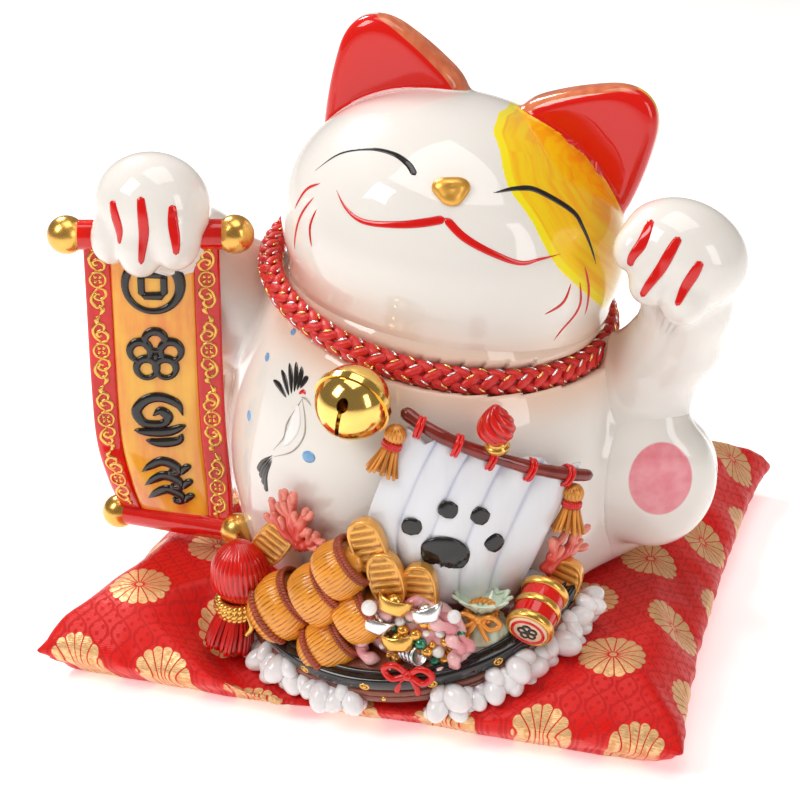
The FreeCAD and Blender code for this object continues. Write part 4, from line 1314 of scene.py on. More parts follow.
@dataclass
class Sail:
    """The glazed sail of five panels, its yard, ties, tassels, and the mast's finial."""

    belly: Belly
    left: tuple = ((21, 141), (12, 120), (5.5, 95), (12, 70))
    right: tuple = ((90, 117), (83, 98), (75, 77), (66, 55))
    yard: tuple = ((17.5, 147, 8), (36, 138.5, 12), (57, 129, 12), (76, 120, 12), (95, 111, 12))
    ties: tuple = ((27, 143), (43, 135.5), (57, 129), (72, 122), (86, 115.5))

    def surface(self, s: Array, t: Array, lift: Array | float) -> tuple[Array, Array]:
        """Points of the sail for shares across and down: between its two edges, bowed at the hem."""
        left, right = smooth_path(self.left, 100), smooth_path(self.right, 100)
        k = np.linspace(0, 1, 100)
        x0, z0, x1, z1 = (np.interp(t, k, side[:, c]) for side in (left, right) for c in (0, 1))
        arch = 3.2 * 4 * s * (1 - s) * (1 - t)
        scallop = 4.6 * (1 - np.abs(np.cos(math.pi * 4 * np.clip(s, 0.02, 0.98)))) * np.exp(-t * 12)
        hem = -3.0 * np.sin(math.pi * s) * smooth_step(t, 0.75, 1.0)
        x, z = x0 + (x1 - x0) * s, z0 + (z1 - z0) * s + arch - scallop + hem
        return self.belly.on(x, z, 11.0 + lift)

    def face(self, across: Array, up: Array) -> tuple[Array, Array]:
        """The sail's front for millimetres from its middle, level with the yard."""
        s, t = 0.5 + (across + 0.10 * up) / 64.0, 0.53 - up / 62.0
        return self.surface(s, t, self.swell(s, t) + 0.2)

    @staticmethod
    def swell(s: Array, t: Array) -> Array:
        """How far the front stands out: each panel is bowed, and the whole fills towards the hem."""
        return 1.5 * np.abs(np.sin(5 * math.pi * s)) ** 0.7 + 3.0 * np.sin(math.pi * s) * t * (1.2 - t) * 2

    def build(self) -> None:
        """Sail, figure, yard, ties, finial and tassels."""
        t, s = np.meshgrid(np.linspace(0, 1, 70), np.linspace(0, 1, 101), indexing="ij")
        out = self.swell(s, t)
        front, _ = self.surface(s, t, out)
        back, _ = self.surface(s, t, out * 0.7 - 2.4)
        gap = np.abs(((5 * s + 0.5) % 1.0) - 0.5)
        # Painted lavender shade: a thin line on each seam, a broad shade beside it that fades downwards, a
        # band just under the yard and more towards the hem; the back is evenly shaded.
        seam = 0.42 * np.exp(-np.square(gap / 0.045)) + 0.30 * np.exp(-np.square(gap / 0.22)) * np.exp(-t * 2)
        shade = np.clip(seam * (s > 0.05) * (s < 0.95) + 0.25 * np.exp(-t * 6) + 0.18 * t * t, 0, 1)
        both = np.concatenate([shade, np.full_like(shade, 0.3)], axis=1)
        pile = Pile().grid(slab(front, back), closed=False, wash=np.concatenate([both[:1], both, both[-1:]]))
        pile.piece("sail_panels", SAIL_WHITE, "sail", weld=True)
        ink = Pile()
        Motif.PAW.lay(ink, self.face, (1.0, -2.0), 23.0, 1.1)
        ink.piece("sail_figure", STROKE_BLACK)
        way = smooth_path(self.yard, 60)
        path, out_dir = self.belly.on(way[:, 0], way[:, 1], way[:, 2])
        k = np.linspace(0, 1, 60)
        r = 3.0 * np.sqrt(np.clip(np.minimum(k, 1 - k) * 40 + 0.12, 0, 1)) + 0.18 * np.sin(k * 31) ** 3
        Pile().grid(tube(path, r, out_dir, 20)).piece("sail_yard_glazed", YARD, "sail_yard")
        pile, knots = Pile(), unit(path[40] - path[20])
        for x, z in self.ties:
            centre, out_at = self.belly.on(x, z, 12.0)
            for step in (-0.9, 0.9):
                a = angles(26)[:, None]
                low = np.cross(knots, out_at)
                ring = centre + knots * step + 3.5 * (np.cos(a) * out_at + np.sin(a) * low)
                ring += low * 2.2 * np.maximum(np.sin(a), 0) * (1 if low[2] < 0 else -1)
                pile.grid(tube(ring, 0.95, knots, 8, loop=True), loop=True)
        pile.piece("yard_tie_loops", RED_GLAZE, "yard_ties")
        self.finial()
        for name, x, z, lean in (("right", 17, 139, -5), ("left", 89, 106, -1)):
            top, _ = self.belly.on(x, z, 13.0)
            self.tassel(name, top, top + vec(lean, -3, -17))

    def finial(self) -> None:
        """The red onion with twisting grooves, over a gilt collar."""
        foot, _ = self.belly.on(59, 131.5, 12.0)
        h = np.linspace(0, 1, 44)[:, None]
        a = angles(72)[None, :]
        groove = np.abs(np.sin(4.0 * (a + 2.6 * h)))
        body = 8.6 * np.sin(math.pi * np.clip(h, 0, 1) ** 0.8) ** 0.7 * (1 - 0.32 * h**2) + 0.3
        r = body * (0.86 + 0.14 * groove**0.6)
        axis = unit(vec(0, -4, 21))
        u = unit(np.cross(axis, vec(0, 1, 0)))
        p = (foot + vec(0, -2.2, 4.5) + (19.5 * h)[..., None] * axis
             + r[..., None] * (np.cos(a)[..., None] * u + np.sin(a)[..., None] * np.cross(axis, u)))
        # Painted shade: darker in the twisting grooves.
        pile = Pile().grid(p, wash=np.clip(1.0 - groove * 2.2, 0, 1))
        pile.piece("mast_finial_onion", RED_FRINGE, "mast_finial")
        pile = Pile()
        profile = np.array([(0.5, -0.5), (4.2, -0.5), (5.4, 1.0), (5.6, 2.2), (4.6, 3.4), (5.0, 4.2),
                            (4.2, 5.2), (0.5, 5.2)])
        pile.grid(lathe(smooth_path(profile, 26), foot + vec(0, -0.6, 0.5), vec(0, -0.2, 1), 32))
        pile.piece("mast_collar_gilt", GILT, "mast_collar")

    def tassel(self, name: str, top: Array, hem: Array) -> None:
        """A gilt tassel: a grooved ball, a red band and a fan of strands."""
        pile = Pile()
        a = angles(48)[None, :]
        lat = np.linspace(-1.45, 1.45, 16)[:, None]
        groove = np.abs(np.sin(8 * a + 1.5 * lat))
        r = 4.9 * np.cos(lat) * (0.88 + 0.12 * groove)
        p = np.stack([r * np.cos(a), r * np.sin(a), 4.7 * np.sin(lat) + 0 * a], -1)
        # Painted shade: darker in the ball's grooves.
        pile.grid(top + p, wash=np.clip(1 - 2.0 * groove, 0, 1))
        for count, r0, r1, thick in ((15, 2.6, 7.2, 1.0), (11, 1.2, 4.0, 1.1)):
            for i, strand in enumerate(strands(top + (hem - top) * 0.24, hem, r0, r1, count, thick)):
                shade = np.full(strand.shape[:2], 0.15 + 0.35 * (i % 3 == 0))
                # Painted shade at the strands' tops, under the band.
                shade[:2] = 0.9
                pile.grid(strand, wash=shade)
        pile.piece(f"{name}_yard_tassel_gilt", FRINGE, f"{name}_yard_tassel")
        band = Pile()
        for k in (0.24, 0.31):
            rope_ring(band, top + (hem - top) * k, hem - top, 3.3, 1.3, 12)
        band.piece(f"{name}_yard_tassel_band", RED_GLAZE)


@dataclass
class ProwTassel:
    """The large red tassel at the prow: a ball of strands, a twisted gilt cord and a heavy fringe."""

    knot: Array = field(default_factory=lambda: vec(-58, -124, 58))

    def build(self) -> None:
        """Head, cord and fringe."""
        a = angles(144)[None, :]
        lat = np.linspace(-1.45, 1.5, 40)[:, None]
        groove = np.abs(np.sin(17 * a + 0.9 * np.sin(lat * 1.3)))
        r = np.cos(lat) ** 0.9 * (0.94 + 0.06 * groove)
        p = np.stack([14.0 * r * np.cos(a), 13.0 * r * np.sin(a),
                      15.0 * np.sin(lat) + 1.5 * np.exp(-np.square((lat - 1.5) / 0.3)) + 0 * a], -1)
        # Painted shade: darker in the grooves between the strands of the ball.
        head = Pile().grid(self.knot + p, wash=np.clip(0.9 - 1.6 * groove, 0, 1))
        head.piece("prow_tassel_ball", RED_FRINGE, "prow_tassel_head")
        cord = Pile()
        for drop, r, thick in ((13.2, 7.4, 2.6), (15.6, 7.8, 2.6), (18.0, 7.2, 2.2)):
            rope_ring(cord, self.knot + vec(-2, -2, -drop), vec(0.1, -0.2, 1), r, thick, 11)
        tail = smooth_path([self.knot + v for v in (vec(5, -7, -16), vec(8, -9, -22), vec(5, -9, -27))], 16)
        cord.grid(tube(tail, 1.3, FRONT, 8))
        cord.piece("prow_tassel_twist", GILT, "prow_tassel_cord")
        skirt = Pile()
        top, hem = self.knot + vec(-2, -2, -18), self.knot + vec(-5, -5, -36)
        for count, r0, r1, thick in ((30, 6.0, 10.8, 1.15), (20, 4.0, 7.4, 1.2), (10, 1.5, 4.0, 1.4)):
            for i, strand in enumerate(strands(top, hem, r0, r1, count, thick, 1.4)):
                skirt.grid(strand, wash=0.1 + 0.4 * (i % 4 == 0))
        skirt.piece("prow_tassel_fringe", RED_FRINGE, "prow_tassel_skirt")


@dataclass
class Cargo:
    """Rice bales, tablets, the treasure bag, pouch, mallet and coral."""

    belly: Belly
    axis: Array = field(default_factory=lambda: unit(vec(0.75, 0.10, 0.62)))
    bales: tuple = ((-34, 48, 20, 15.0), (-16, 61, 20, 13.5), (-5, 76, 18, 12.5),
                    (-9, 38, 25, 12.5), (4, 55, 22, 12.0))

    def build(self) -> None:
        """Every piece of cargo."""
        self.build_bales()
        self.tablets()
        self.bag()
        self.pouch()
        self.mallet()
        self.coral()

    def build_bales(self) -> None:
        """Bulging bales: r = R (1.09 - 0.22 h^2.4) with straw ridges, twisted ropes and tied ends."""
        ropes = Pile()
        for i, (x, z, proud, radius) in enumerate(self.bales):
            centre, _ = self.belly.on(x, z, proud)
            tied_end = i in (0, 3)
            u = unit(np.cross(self.axis, vec(0.3, 0.2, 0.93)))
            v = np.cross(self.axis, u)
            h = np.linspace(-1, 1, 40)[:, None]
            a = angles(168)[None, :]
            jitter = 0.5 * np.sin(3 * a + i) + 0.35 * np.sin(7 * a + 1.5 * h) + 0.25 * np.sin(5 * h + 11 * a)
            groove = np.abs(np.sin(24 * a + 0.5 * h + jitter)) ** 0.8
            fine = 0.5 + 0.5 * np.sin(71 * a + 3 * jitter + 2 * h)
            round_off = np.sqrt(np.clip((1.03 - np.abs(h)) * 4, 0, 1))
            r = radius * (1.09 - 0.22 * np.abs(h) ** 2.4) * (0.955 + 0.035 * groove + 0.012 * fine)
            r = r * (0.62 + 0.38 * round_off)
            spoke = np.cos(a)[..., None] * u + np.sin(a)[..., None] * v
            p = centre + (h * 9.0)[..., None] * self.axis + r[..., None] * spoke
            # Painted shade: darker in the valleys between the straw ridges and towards both ends of the bale.
            wash = np.clip(0.85 - 1.1 * groove, 0, 1) + 0.5 * np.abs(h) ** 6 + 0 * a
            pile = Pile()
            pile.grid(p, wash=wash)
            if tied_end:
                self.tied_end(pile, ropes, centre - self.axis * 8.6, radius * 0.93, u, v)
            else:
                cap = ball(centre + self.axis * 7.0, vec(1, 1, 1) * radius * 0.6, 10, 20)
                pile.grid(cap)
            pile.piece(f"straw_bale_{i + 1}", STRAW, f"rice_bale_{i + 1}")
            for step in (-0.9, 0.9):
                rope_ring(ropes, centre + self.axis * (8.4 + step), self.axis, radius * 0.92, 1.35, 26, 7)
        ropes.piece("bale_rope_rings", BROWN_ROPE)

    def tied_end(self, pile: Pile, ropes: Pile, at: Array, radius: float, u: Array, v: Array) -> None:
        """A shallow cone of radial straw, drawn in to a knot at its hub."""
        t = np.linspace(0.10, 1, 24)[:, None]
        a = angles(160)[None, :]
        groove = np.abs(np.sin(20 * a + 1.2 * t))
        dome = 8.5 * np.sqrt(1 - 0.985 * t**2) * (1 - np.exp(-np.square((t - 0.08) / 0.16)) * 0.25)
        p = (at - (dome + 0.5 * groove * t)[..., None] * self.axis
             + (radius * t)[..., None] * (np.cos(a)[..., None] * u + np.sin(a)[..., None] * v))
        back = at + self.axis * 3.0 + (radius * 0.5) * (np.cos(a)[..., None] * u + np.sin(a)[..., None] * v)
        # Painted shade: darker in the straw's grooves and towards the knot; the hidden back is fully dark.
        pile.grid(np.concatenate([p, back]),
                  wash=np.concatenate([np.clip(0.95 - 1.2 * groove + 0.3 * (1 - t), 0, 1), 0 * a + 1]))
        pile.grid(ball(at - self.axis * 7.8, radius * 0.16, 10, 16), wash=0.2)
        rope_ring(ropes, at + self.axis * 0.6, self.axis, radius * 1.02, 2.0, 22, 7)
        rope_ring(ropes, at - self.axis * 7.3, self.axis, radius * 0.26, 1.5, 7, 7)

    def tablets(self) -> None:
        """Thick oval coin tablets: a rounded slab with level ridges across its face."""
        pile = Pile()
        for x, z, proud, roll in ((8.5, 90, 17, -20), (17, 76, 20, -15), (31, 70, 19, -5),
                                  (-44, 73, 8, 35), (86, 62, 15, 20)):
            centre, _ = self.belly.on(x, z, proud)
            turn = turn_about(vec(0, 1, 0), roll)
            a = angles(64)[None, :]
            k = np.concatenate([np.linspace(0.03, 1, 22), np.ones(4), np.linspace(1, 0.03, 8)])[:, None]
            side = np.concatenate([np.ones(22), np.linspace(0.8, -0.8, 4), -np.ones(8)])[:, None]
            px = 8.0 * k * np.sign(np.cos(a)) * np.abs(np.cos(a)) ** 0.8
            pz = 13.0 * k * np.sign(np.sin(a)) * np.abs(np.sin(a)) ** 0.75
            ridge = np.abs(np.sin(pz * math.pi / 3.4))
            rim = np.exp(-np.square((k - 0.93) / 0.06))
            py = -side * (2.5 + (0.7 * ridge * (k < 0.85) + 0.9 * rim) * (side > 0.9))
            # Painted shade: darker in the valleys between the ridges on the front face.
            pile.grid(centre + np.stack([px, py, pz], -1) @ turn.T,
                      wash=np.clip(1.0 - 1.6 * ridge, 0, 1) * (k < 0.85) * (side > 0.9))
        pile.piece("ridged_tablets", TABLET, "gold_tablets")

    def bag(self) -> None:
        """The open pink bag of treasure: a folded shell, a frilled rim, ingots, beads and coins."""
        centre, _ = self.belly.on(28, 48, 20.0)
        a = angles(120)[None, :]
        lat = np.linspace(-1.5, 1.5, 50)[:, None]
        fold = np.sin(9 * a + 1.2 * np.sin(2 * lat)) * np.cos(lat)
        swell = 1.0 + 0.035 * fold * smooth_step(-lat, -0.6, 0.6)
        p = np.stack([23 * np.cos(lat) * np.cos(a), 11.5 * np.sin(-lat) + 0 * a,
                      17 * np.cos(lat) * np.sin(a)], -1) * swell[..., None]
        # Painted shade: deeper pink in the creases of the folds.
        shell = Pile().grid(centre + p, wash=np.clip(0.35 - 0.6 * fold, 0, 1))
        shell.piece("pink_bag", PINK_BAG, "treasure_bag")
        frill = Pile()
        b = angles(200)
        for scale, lift, waves, phase in ((0.97, -11.0, 11, 0.0), (1.09, -7.0, 9, 1.3)):
            wobble = 1.0 + 0.06 * np.sin(waves * b + phase)
            path = centre + np.stack([23 * scale * wobble * np.cos(b),
                                      lift + 1.6 * np.cos(waves * b + phase),
                                      17 * scale * wobble * np.sin(b) - 1.0], -1)
            frill.grid(tube(path, 2.7 + 0.6 * np.sin(2 * waves * b), FRONT, 10, 0.9, True),
                       loop=True, wash=(0.3 + 0.3 * np.sin(waves * b))[:, None])
        frill.piece("bag_frill", PINK_BAG)
        self.ingots()
        beads = {"white_pearls": Pile(), "green_beads": Pile(), "gold_beads": Pile()}
        names = list(beads)
        pitch = 5.2
        for row in range(-4, 5):
            for column in range(-5, 6):
                i = 11 * row + column
                x = 28.5 + pitch * (column + 0.5 * (row % 2)) + 0.7 * math.sin(3.1 * i)
                z = 49.0 + pitch * 0.87 * row + 0.7 * math.cos(4.3 * i)
                u, w = (x - centre[0]) / 23.0, (z - centre[2]) / 17.0
                if u * u + w * w > 0.66:
                    continue
                y = centre[1] - 11.5 * math.sqrt(max(0.05, 1 - u * u - w * w)) - 0.9
                size = 2.35 + 0.75 * math.sin(1.9 * i + 0.6)
                beads[names[(0, 2, 1, 0, 2)[(row + 2 * column) % 5]]].grid(
                    ball(vec(x, y, z), size, 9, 14))
        for x, z, name, size in ((14, 33, "white_pearls", 3.4), (48, 63, "white_pearls", 3.2),
                                 (12, 66, "white_pearls", 3.6), (44, 36, "white_pearls", 3.3),
                                 (25, 35, "gold_beads", 2.8), (50, 54, "green_beads", 2.6)):
            at, _ = self.belly.on(x, z, 31.0)
            beads[name].grid(ball(at, size, 11, 16))
        for name, finish in (("white_pearls", PEARL), ("green_beads", GREEN_BEAD),
                             ("gold_beads", GOLD_BEAD)):
            beads[name].piece("bag_" + name, finish, name)
        coins = Pile()
        for k in range(5):
            at, _ = self.belly.on(46 + 0.5 * k, 42 + 1.9 * k, 30.0 - 0.4 * k)
            self.coin(coins, at, vec(0.25, -0.45, 0.86), 5.6)
        silver = Pile()
        for k in range(4):
            self.coin(silver, vec(33 - 1.9 * k, -147.0 + 0.5 * k, 43.0 + 0.35 * k), vec(0.8, -0.55, 0.2), 5.0)
        coins.piece("gold_coin_stack", GILT, "coin_stack", sharp=50)
        silver.piece("silver_coin_stack", SILVER, sharp=50)
        ribbon = Pile()
        bow(ribbon, vec(30, -152.5, 36), ((6, -1.5, 4.5), (11, -1, 1.5), (7, -1.5, -2.5)),
            ((3.5, -1, -4), (5, -1, -8.5)), (1.5, 1.4), (1.2, 2.4), 9)
        ribbon.piece("red_bow", RED_GLAZE)

    @staticmethod
    def coin(pile: Pile, at: Array, axis: Array, radius: float) -> None:
        """A coin with a raised rim: radius and height of its edge, turned about its axis."""
        r = radius
        profile = np.array([(0.3, 0.35), (r * 0.72, 0.35), (r * 0.8, 0.75), (r * 0.95, 0.75), (r, 0.5),
                            (r, -0.5), (r * 0.95, -0.75), (0.3, -0.6)])
        pile.grid(lathe(profile, at, axis, 28))

    def ingots(self) -> None:
        """Shoe-shaped ingots: a rim that rises at both ends, a bowl and a ball in the middle."""
        gold, silver = Pile(), Pile()
        for pile, spots in ((gold, ((22, 66, 30, 12), (24, 47, 33, -8))),
                            (silver, ((36, 62, 30, -18), (13, 55, 30, 20)))):
            for x, z, proud, roll in spots:
                at, _ = self.belly.on(x, z, proud)
                turn = turn_about(vec(0, 1, 0), roll) @ turn_about(vec(1, 0, 0), -28.0)
                a = angles(44)[None, :]
                k = np.array([0.05, 0.35, 0.62, 0.8, 0.9, 1.0, 1.0, 0.9, 0.7, 0.4, 0.05])[:, None]
                high = np.array([2.2, 2.2, 2.6, 3.2, 3.5, 3.1, 2.2, 0.2, -1.8, -2.6, -2.7])[:, None]
                ends = 2.4 * np.cos(a) ** 2 * k**2 * (high > 0)
                p = np.stack([8.4 * k * np.cos(a), 5.2 * k * np.sin(a), high + ends], -1)
                pile.grid(at + p @ turn.T)
                pile.grid(ball(at + turn @ vec(0, 0, 3.4), vec(3.6, 3.2, 3.0), 12, 20, turn))
        gold.piece("gold_shoe_ingots", GILT, "gold_ingots")
        silver.piece("silver_shoe_ingots", SILVER, "silver_ingots")

    def pouch(self) -> None:
        """The tied pale green pouch: a pleated body, a ruffle that flares, and a twisted cord with a bow."""
        centre, _ = self.belly.on(56, 47, 20.0)
        a = angles(132)[None, :]
        t = np.linspace(0, 1, 60)[:, None]
        r = np.interp(t[:, 0], [0, 0.05, 0.2, 0.38, 0.52, 0.62, 0.68, 0.74, 0.84, 0.94, 1.0],
                      [0.5, 5, 12.2, 14.6, 12.0, 7.4, 5.2, 6.0, 9.6, 13.0, 12.4])[:, None]
        z = np.interp(t[:, 0], [0, 0.05, 0.2, 0.38, 0.52, 0.62, 0.68, 0.74, 0.84, 0.94, 1.0],
                      [-12.5, -12.3, -9.5, -2, 5, 9, 11, 12.6, 15.6, 18.6, 19.4])[:, None]
        pleat = np.sin(11 * a + 0.8 * np.sin(3 * a))
        depth = 0.025 + 0.10 * smooth_step(t, 0.38, 0.66) * (1 - 0.35 * smooth_step(t, 0.8, 1.0))
        rr = r * (1 + depth * pleat)
        p = np.stack([rr * np.cos(a), 0.8 * rr * np.sin(a) - 3 * smooth_step(t, 0.5, 1.0),
                      z + 0.9 * pleat * smooth_step(t, 0.8, 1.0)], -1)
        inner = np.stack([0.8 * rr[-14:][::-1] * np.cos(a), 0.64 * rr[-14:][::-1] * np.sin(a) - 3,
                          z[-14:][::-1] - 1.2 + 0.9 * pleat], -1)
        pile = Pile()
        # Peach towards the bottom, and peach painted shade in the hollows of the pleats.
        peach = np.clip(0.75 - 1.1 * t, 0, 1) + 0.25 * (pleat < -0.4) * (t > 0.35)
        pile.grid(centre + np.concatenate([p, inner]),
                  wash=np.concatenate([peach + 0 * a, np.full((14, 132), 0.1)]))
        pile.piece("pleated_pouch", POUCH_GREEN, "green_pouch")
        cord = Pile()
        neck = centre + vec(0, -2.6, 11)
        rope_ring(cord, neck, vec(0, -0.3, 1), 6.0, 2.2, 9)
        bow(cord, neck + vec(0, -6.2, -1.2), ((6, -1.5, 3), (10, 0, -1), (5.5, -1.5, -3.2)),
            ((2.6, -2.5, -4), (5.5, -3.4, -8)), (1.15, 1.1), (0.6, 2.0), 8)
        cord.piece("pouch_twisted_cord", FRINGE, "pouch_cord")

    def mallet(self) -> None:
        """The little mallet: a red barrel with rounded gilt rims, a peach face and a blossom on it."""
        face = Boat().at(0.825, 4.5, 10.5)
        back = face + vec(3.0, 22, 9.5)
        along = unit(back - face)
        length = float(np.linalg.norm(back - face))
        pile = Pile()
        h = np.linspace(1.0, length, 30)
        pile.grid(lathe(np.stack([9.1 + 0.7 * np.sin(math.pi * h / length), h], -1), face, along, 48))
        pile.piece("mallet_red_barrel", RED_GLAZE, "mallet_barrel", sharp=60)
        bands, disc, ring = Pile(), Pile(), Pile()
        for start, wide in ((0.2, 4.2), (length * 0.82, 4.0)):
            a = angles(16)
            profile = np.stack([9.7 + 1.3 * np.cos(a), start + wide * 0.5 + wide * 0.55 * np.sin(a)], -1)
            grid = lathe(profile, face, along, 48)
            bands.grid(np.swapaxes(grid, 0, 1), loop=True)
        strap = lathe(np.stack([10.1 + 0.6 * np.cos(a), length * 0.5 + 1.8 * np.sin(a)], -1), face, along, 48)
        bands.grid(np.swapaxes(strap, 0, 1), loop=True)
        bands.piece("mallet_gilt_rims", GILT, "mallet_bands")
        disc.grid(lathe(np.array([(0.2, -0.9), (7.9, -0.6), (8.8, 0.2), (8.8, 2.5), (0.2, 2.5)]), face,
                        along, 48))
        disc.piece("mallet_peach_face", PEACH_DISC, sharp=40)
        u = unit(np.cross(along, vec(0, 0, 1)))
        up = np.cross(u, along)
        up = up if up[2] > 0 else -up
        u = u if u[0] > 0 else -u

        def on_face(x: Array, y: Array) -> tuple[Array, Array]:
            """The end face for millimetres across and up."""
            p = face - along * 0.85 + np.asarray(x)[..., None] * u + np.asarray(y)[..., None] * up
            return p, np.broadcast_to(-along, p.shape)

        ink = Pile()
        Motif.BLOSSOM.lay(ink, on_face, (0.0, 0.0), 5.0, 0.5)
        ink.piece("mallet_blossom", STROKE_BLACK)
        b = angles(48)
        on, out = on_face(7.2 * np.cos(b), 7.2 * np.sin(b))
        ring.grid(tube(on, 0.7, out, 8, 0.7, True), loop=True)
        ring.piece("mallet_red_ring", RED_GLAZE)

    def coral(self) -> None:
        """Branching coral: tapered knobbly tubes with round tips, and twigs off their sides."""
        pile = Pile()
        groups = (((-30, 74, 5), ((-33, 100, 6), (-39, 99, 6), (-44, 91, 6), (-25, 95, 7), (-20, 85, 8))),
                  ((79, 70, 12), ((82, 84, 10), (90, 87, 8), (91, 78, 9))))
        for foot, tips in groups:
            root, out = self.belly.on(*foot)
            for i, tip in enumerate(tips):
                end, _ = self.belly.on(*tip)
                end = end + unit(end - root) * 1.5
                middle = 0.5 * (root + end) + out * 2.0 + vec(1.5 * math.sin(2.0 * i), 0, 0)
                way = smooth_path([root, middle, end], 26)
                t = np.linspace(0, 1, 26)
                r = (2.9 - 0.9 * t + 0.35 * np.sin(17 * t + i)) * np.sqrt(np.clip((1.02 - t) * 12, 0, 1))
                pile.grid(tube(way, r, out, 12), wash=(t**2)[:, None])
                for k, side in ((10, 1), (15, -1), (20, 1)):
                    start = way[k]
                    along = unit(end - root)
                    way2 = unit(along + side * (0.8 + 0.15 * i) * np.cross(along, out) + 0.25 * out)
                    twig = smooth_path([start, start + way2 * 4.0, start + way2 * 5.5 + along * 3.0], 12)
                    s = np.linspace(0, 1, 12)
                    r2 = (1.9 - 0.3 * s) * np.sqrt(np.clip((1.02 - s) * 7, 0, 1))
                    pile.grid(tube(twig, r2, out, 10),
                              wash=(0.3 + 0.7 * s)[:, None])
        pile.piece("coral_branches", CORAL, "coral")


# Cushion ------------------------------------------------------------------------------------------
@dataclass(frozen=True)
class Brocade(Finish):
    """Red satin with tone-on-tone lattice and pale gold woven chrysanthemums in staggered rows.

    The cloth's own flat coordinates, in millimetres, are the values "cloth_x" and "cloth_y"; "plain" is
    1 on the unfigured cloth. A flower is 17 petals, each between two rays a constant width apart.
    """

    pitch: tuple[float, float] = (45.0, 46.5)
    origin: tuple[float, float] = (0.5, -162.0)
    flower: float = 15.2
    petals: int = 17
    gold: Colour = (0.88, 0.60, 0.30)
    gold_shade: Colour = (0.72, 0.34, 0.13)

    def make(self) -> bpy.types.Material:
        """Wire the nodes."""
        n = Nodes("paint_" + self.name)
        m = n.math
        x, y = n.value("cloth_x"), n.value("cloth_y")
        v = m("DIVIDE", m("SUBTRACT", y, self.origin[1]), self.pitch[1])
        row = m("FLOOR", m("ADD", v, 0.5))
        odd = m("ABSOLUTE", m("MODULO", row, 2.0))
        u = m("ADD", m("DIVIDE", m("SUBTRACT", x, self.origin[0]), self.pitch[0]), m("MULTIPLY", odd, 0.5))
        du = m("MULTIPLY", m("SUBTRACT", u, m("FLOOR", m("ADD", u, 0.5))), self.pitch[0])
        dv = m("MULTIPLY", m("SUBTRACT", v, row), self.pitch[1])
        r = m("SQRT", m("ADD", m("MULTIPLY", du, du), m("MULTIPLY", dv, dv)))
        angle = m("ARCTAN2", dv, du)
        wave = m("ABSOLUTE", m("COSINE", m("MULTIPLY", angle, self.petals / 2.0)))
        scallop = m("MULTIPLY", m("POWER", wave, 0.45), 2.3)
        rim = m("ADD", scallop, self.flower - 2.3)
        inside = n.ramp(m("SUBTRACT", rim, r), -0.15, 0.25)
        gap = m("MULTIPLY", wave, m("MULTIPLY", r, 2.0 / self.petals))
        ray = n.ramp(gap, 0.12, 0.42)
        eye = n.ramp(r, 1.5, 1.9)
        petal = m("MULTIPLY", n.ramp(r, 2.3, 2.8), ray)
        figure = m("MULTIPLY", inside, m("MAXIMUM", petal, m("SUBTRACT", 1.0, eye)))
        figure = m("MULTIPLY", figure, m("SUBTRACT", 1.0, n.value("plain")))
        threads = n.tree.nodes.new("ShaderNodeCombineXYZ")
        n.feed(threads.inputs[0], m("MULTIPLY", x, 0.35))
        n.feed(threads.inputs[1], m("MULTIPLY", y, 3.4))
        worn = n.noise(threads.outputs[0], 1.0, 3.0)
        weft = m("MULTIPLY_ADD", m("SINE", m("MULTIPLY", y, TAU / 0.7)), 0.5, 0.5)
        warp = m("MULTIPLY_ADD", m("SINE", m("MULTIPLY", x, TAU / 0.55)), 0.5, 0.5)
        wander = m("SINE", m("MULTIPLY", y, TAU / (self.pitch[1] / 2)))
        lattice = [m("ABSOLUTE", m("SINE", m("MULTIPLY", m("ADD", x, m("MULTIPLY", wander, sway)),
                                             math.pi / (self.pitch[0] / 4)))) for sway in (4.6, -4.6)]
        vine = m("SUBTRACT", 1.0, n.ramp(m("MINIMUM", *lattice), 0.14, 0.26))
        leaf = m("MULTIPLY", m("SINE", m("MULTIPLY", x, TAU / 5.6)), m("SINE", m("MULTIPLY", y, TAU / 5.8)))
        ground = m("MULTIPLY", m("MAXIMUM", vine, n.ramp(leaf, 0.45, 0.6)),
                   m("SUBTRACT", 1.0, n.value("plain")))
        red = n.mix(m("MULTIPLY", ground, 0.85), self.colour, self.wash)
        shade = n.ramp(worn, 0.35, 0.62)
        gold = n.mix(shade, self.gold_shade, self.gold)
        n.set(Base_Color=n.mix(figure, red, gold), Metallic=m("MULTIPLY", figure, 0.45),
              Roughness=m("MULTIPLY_ADD", ground, 0.2, 0.36), Sheen_Weight=0.06, Sheen_Roughness=0.4,
              Specular_IOR_Level=0.3)
        height = m("ADD", m("MULTIPLY", figure, 0.9),
                   m("ADD", m("MULTIPLY", weft, 0.25), m("MULTIPLY", m("MULTIPLY", warp, ground), 0.3)))
        n.bump(height, 0.00022, 0.8)
        return n.material


BROCADE = Brocade("brocade", "brocade", (0.74, 0.007, 0.004), (0.58, 0.003, 0.003))


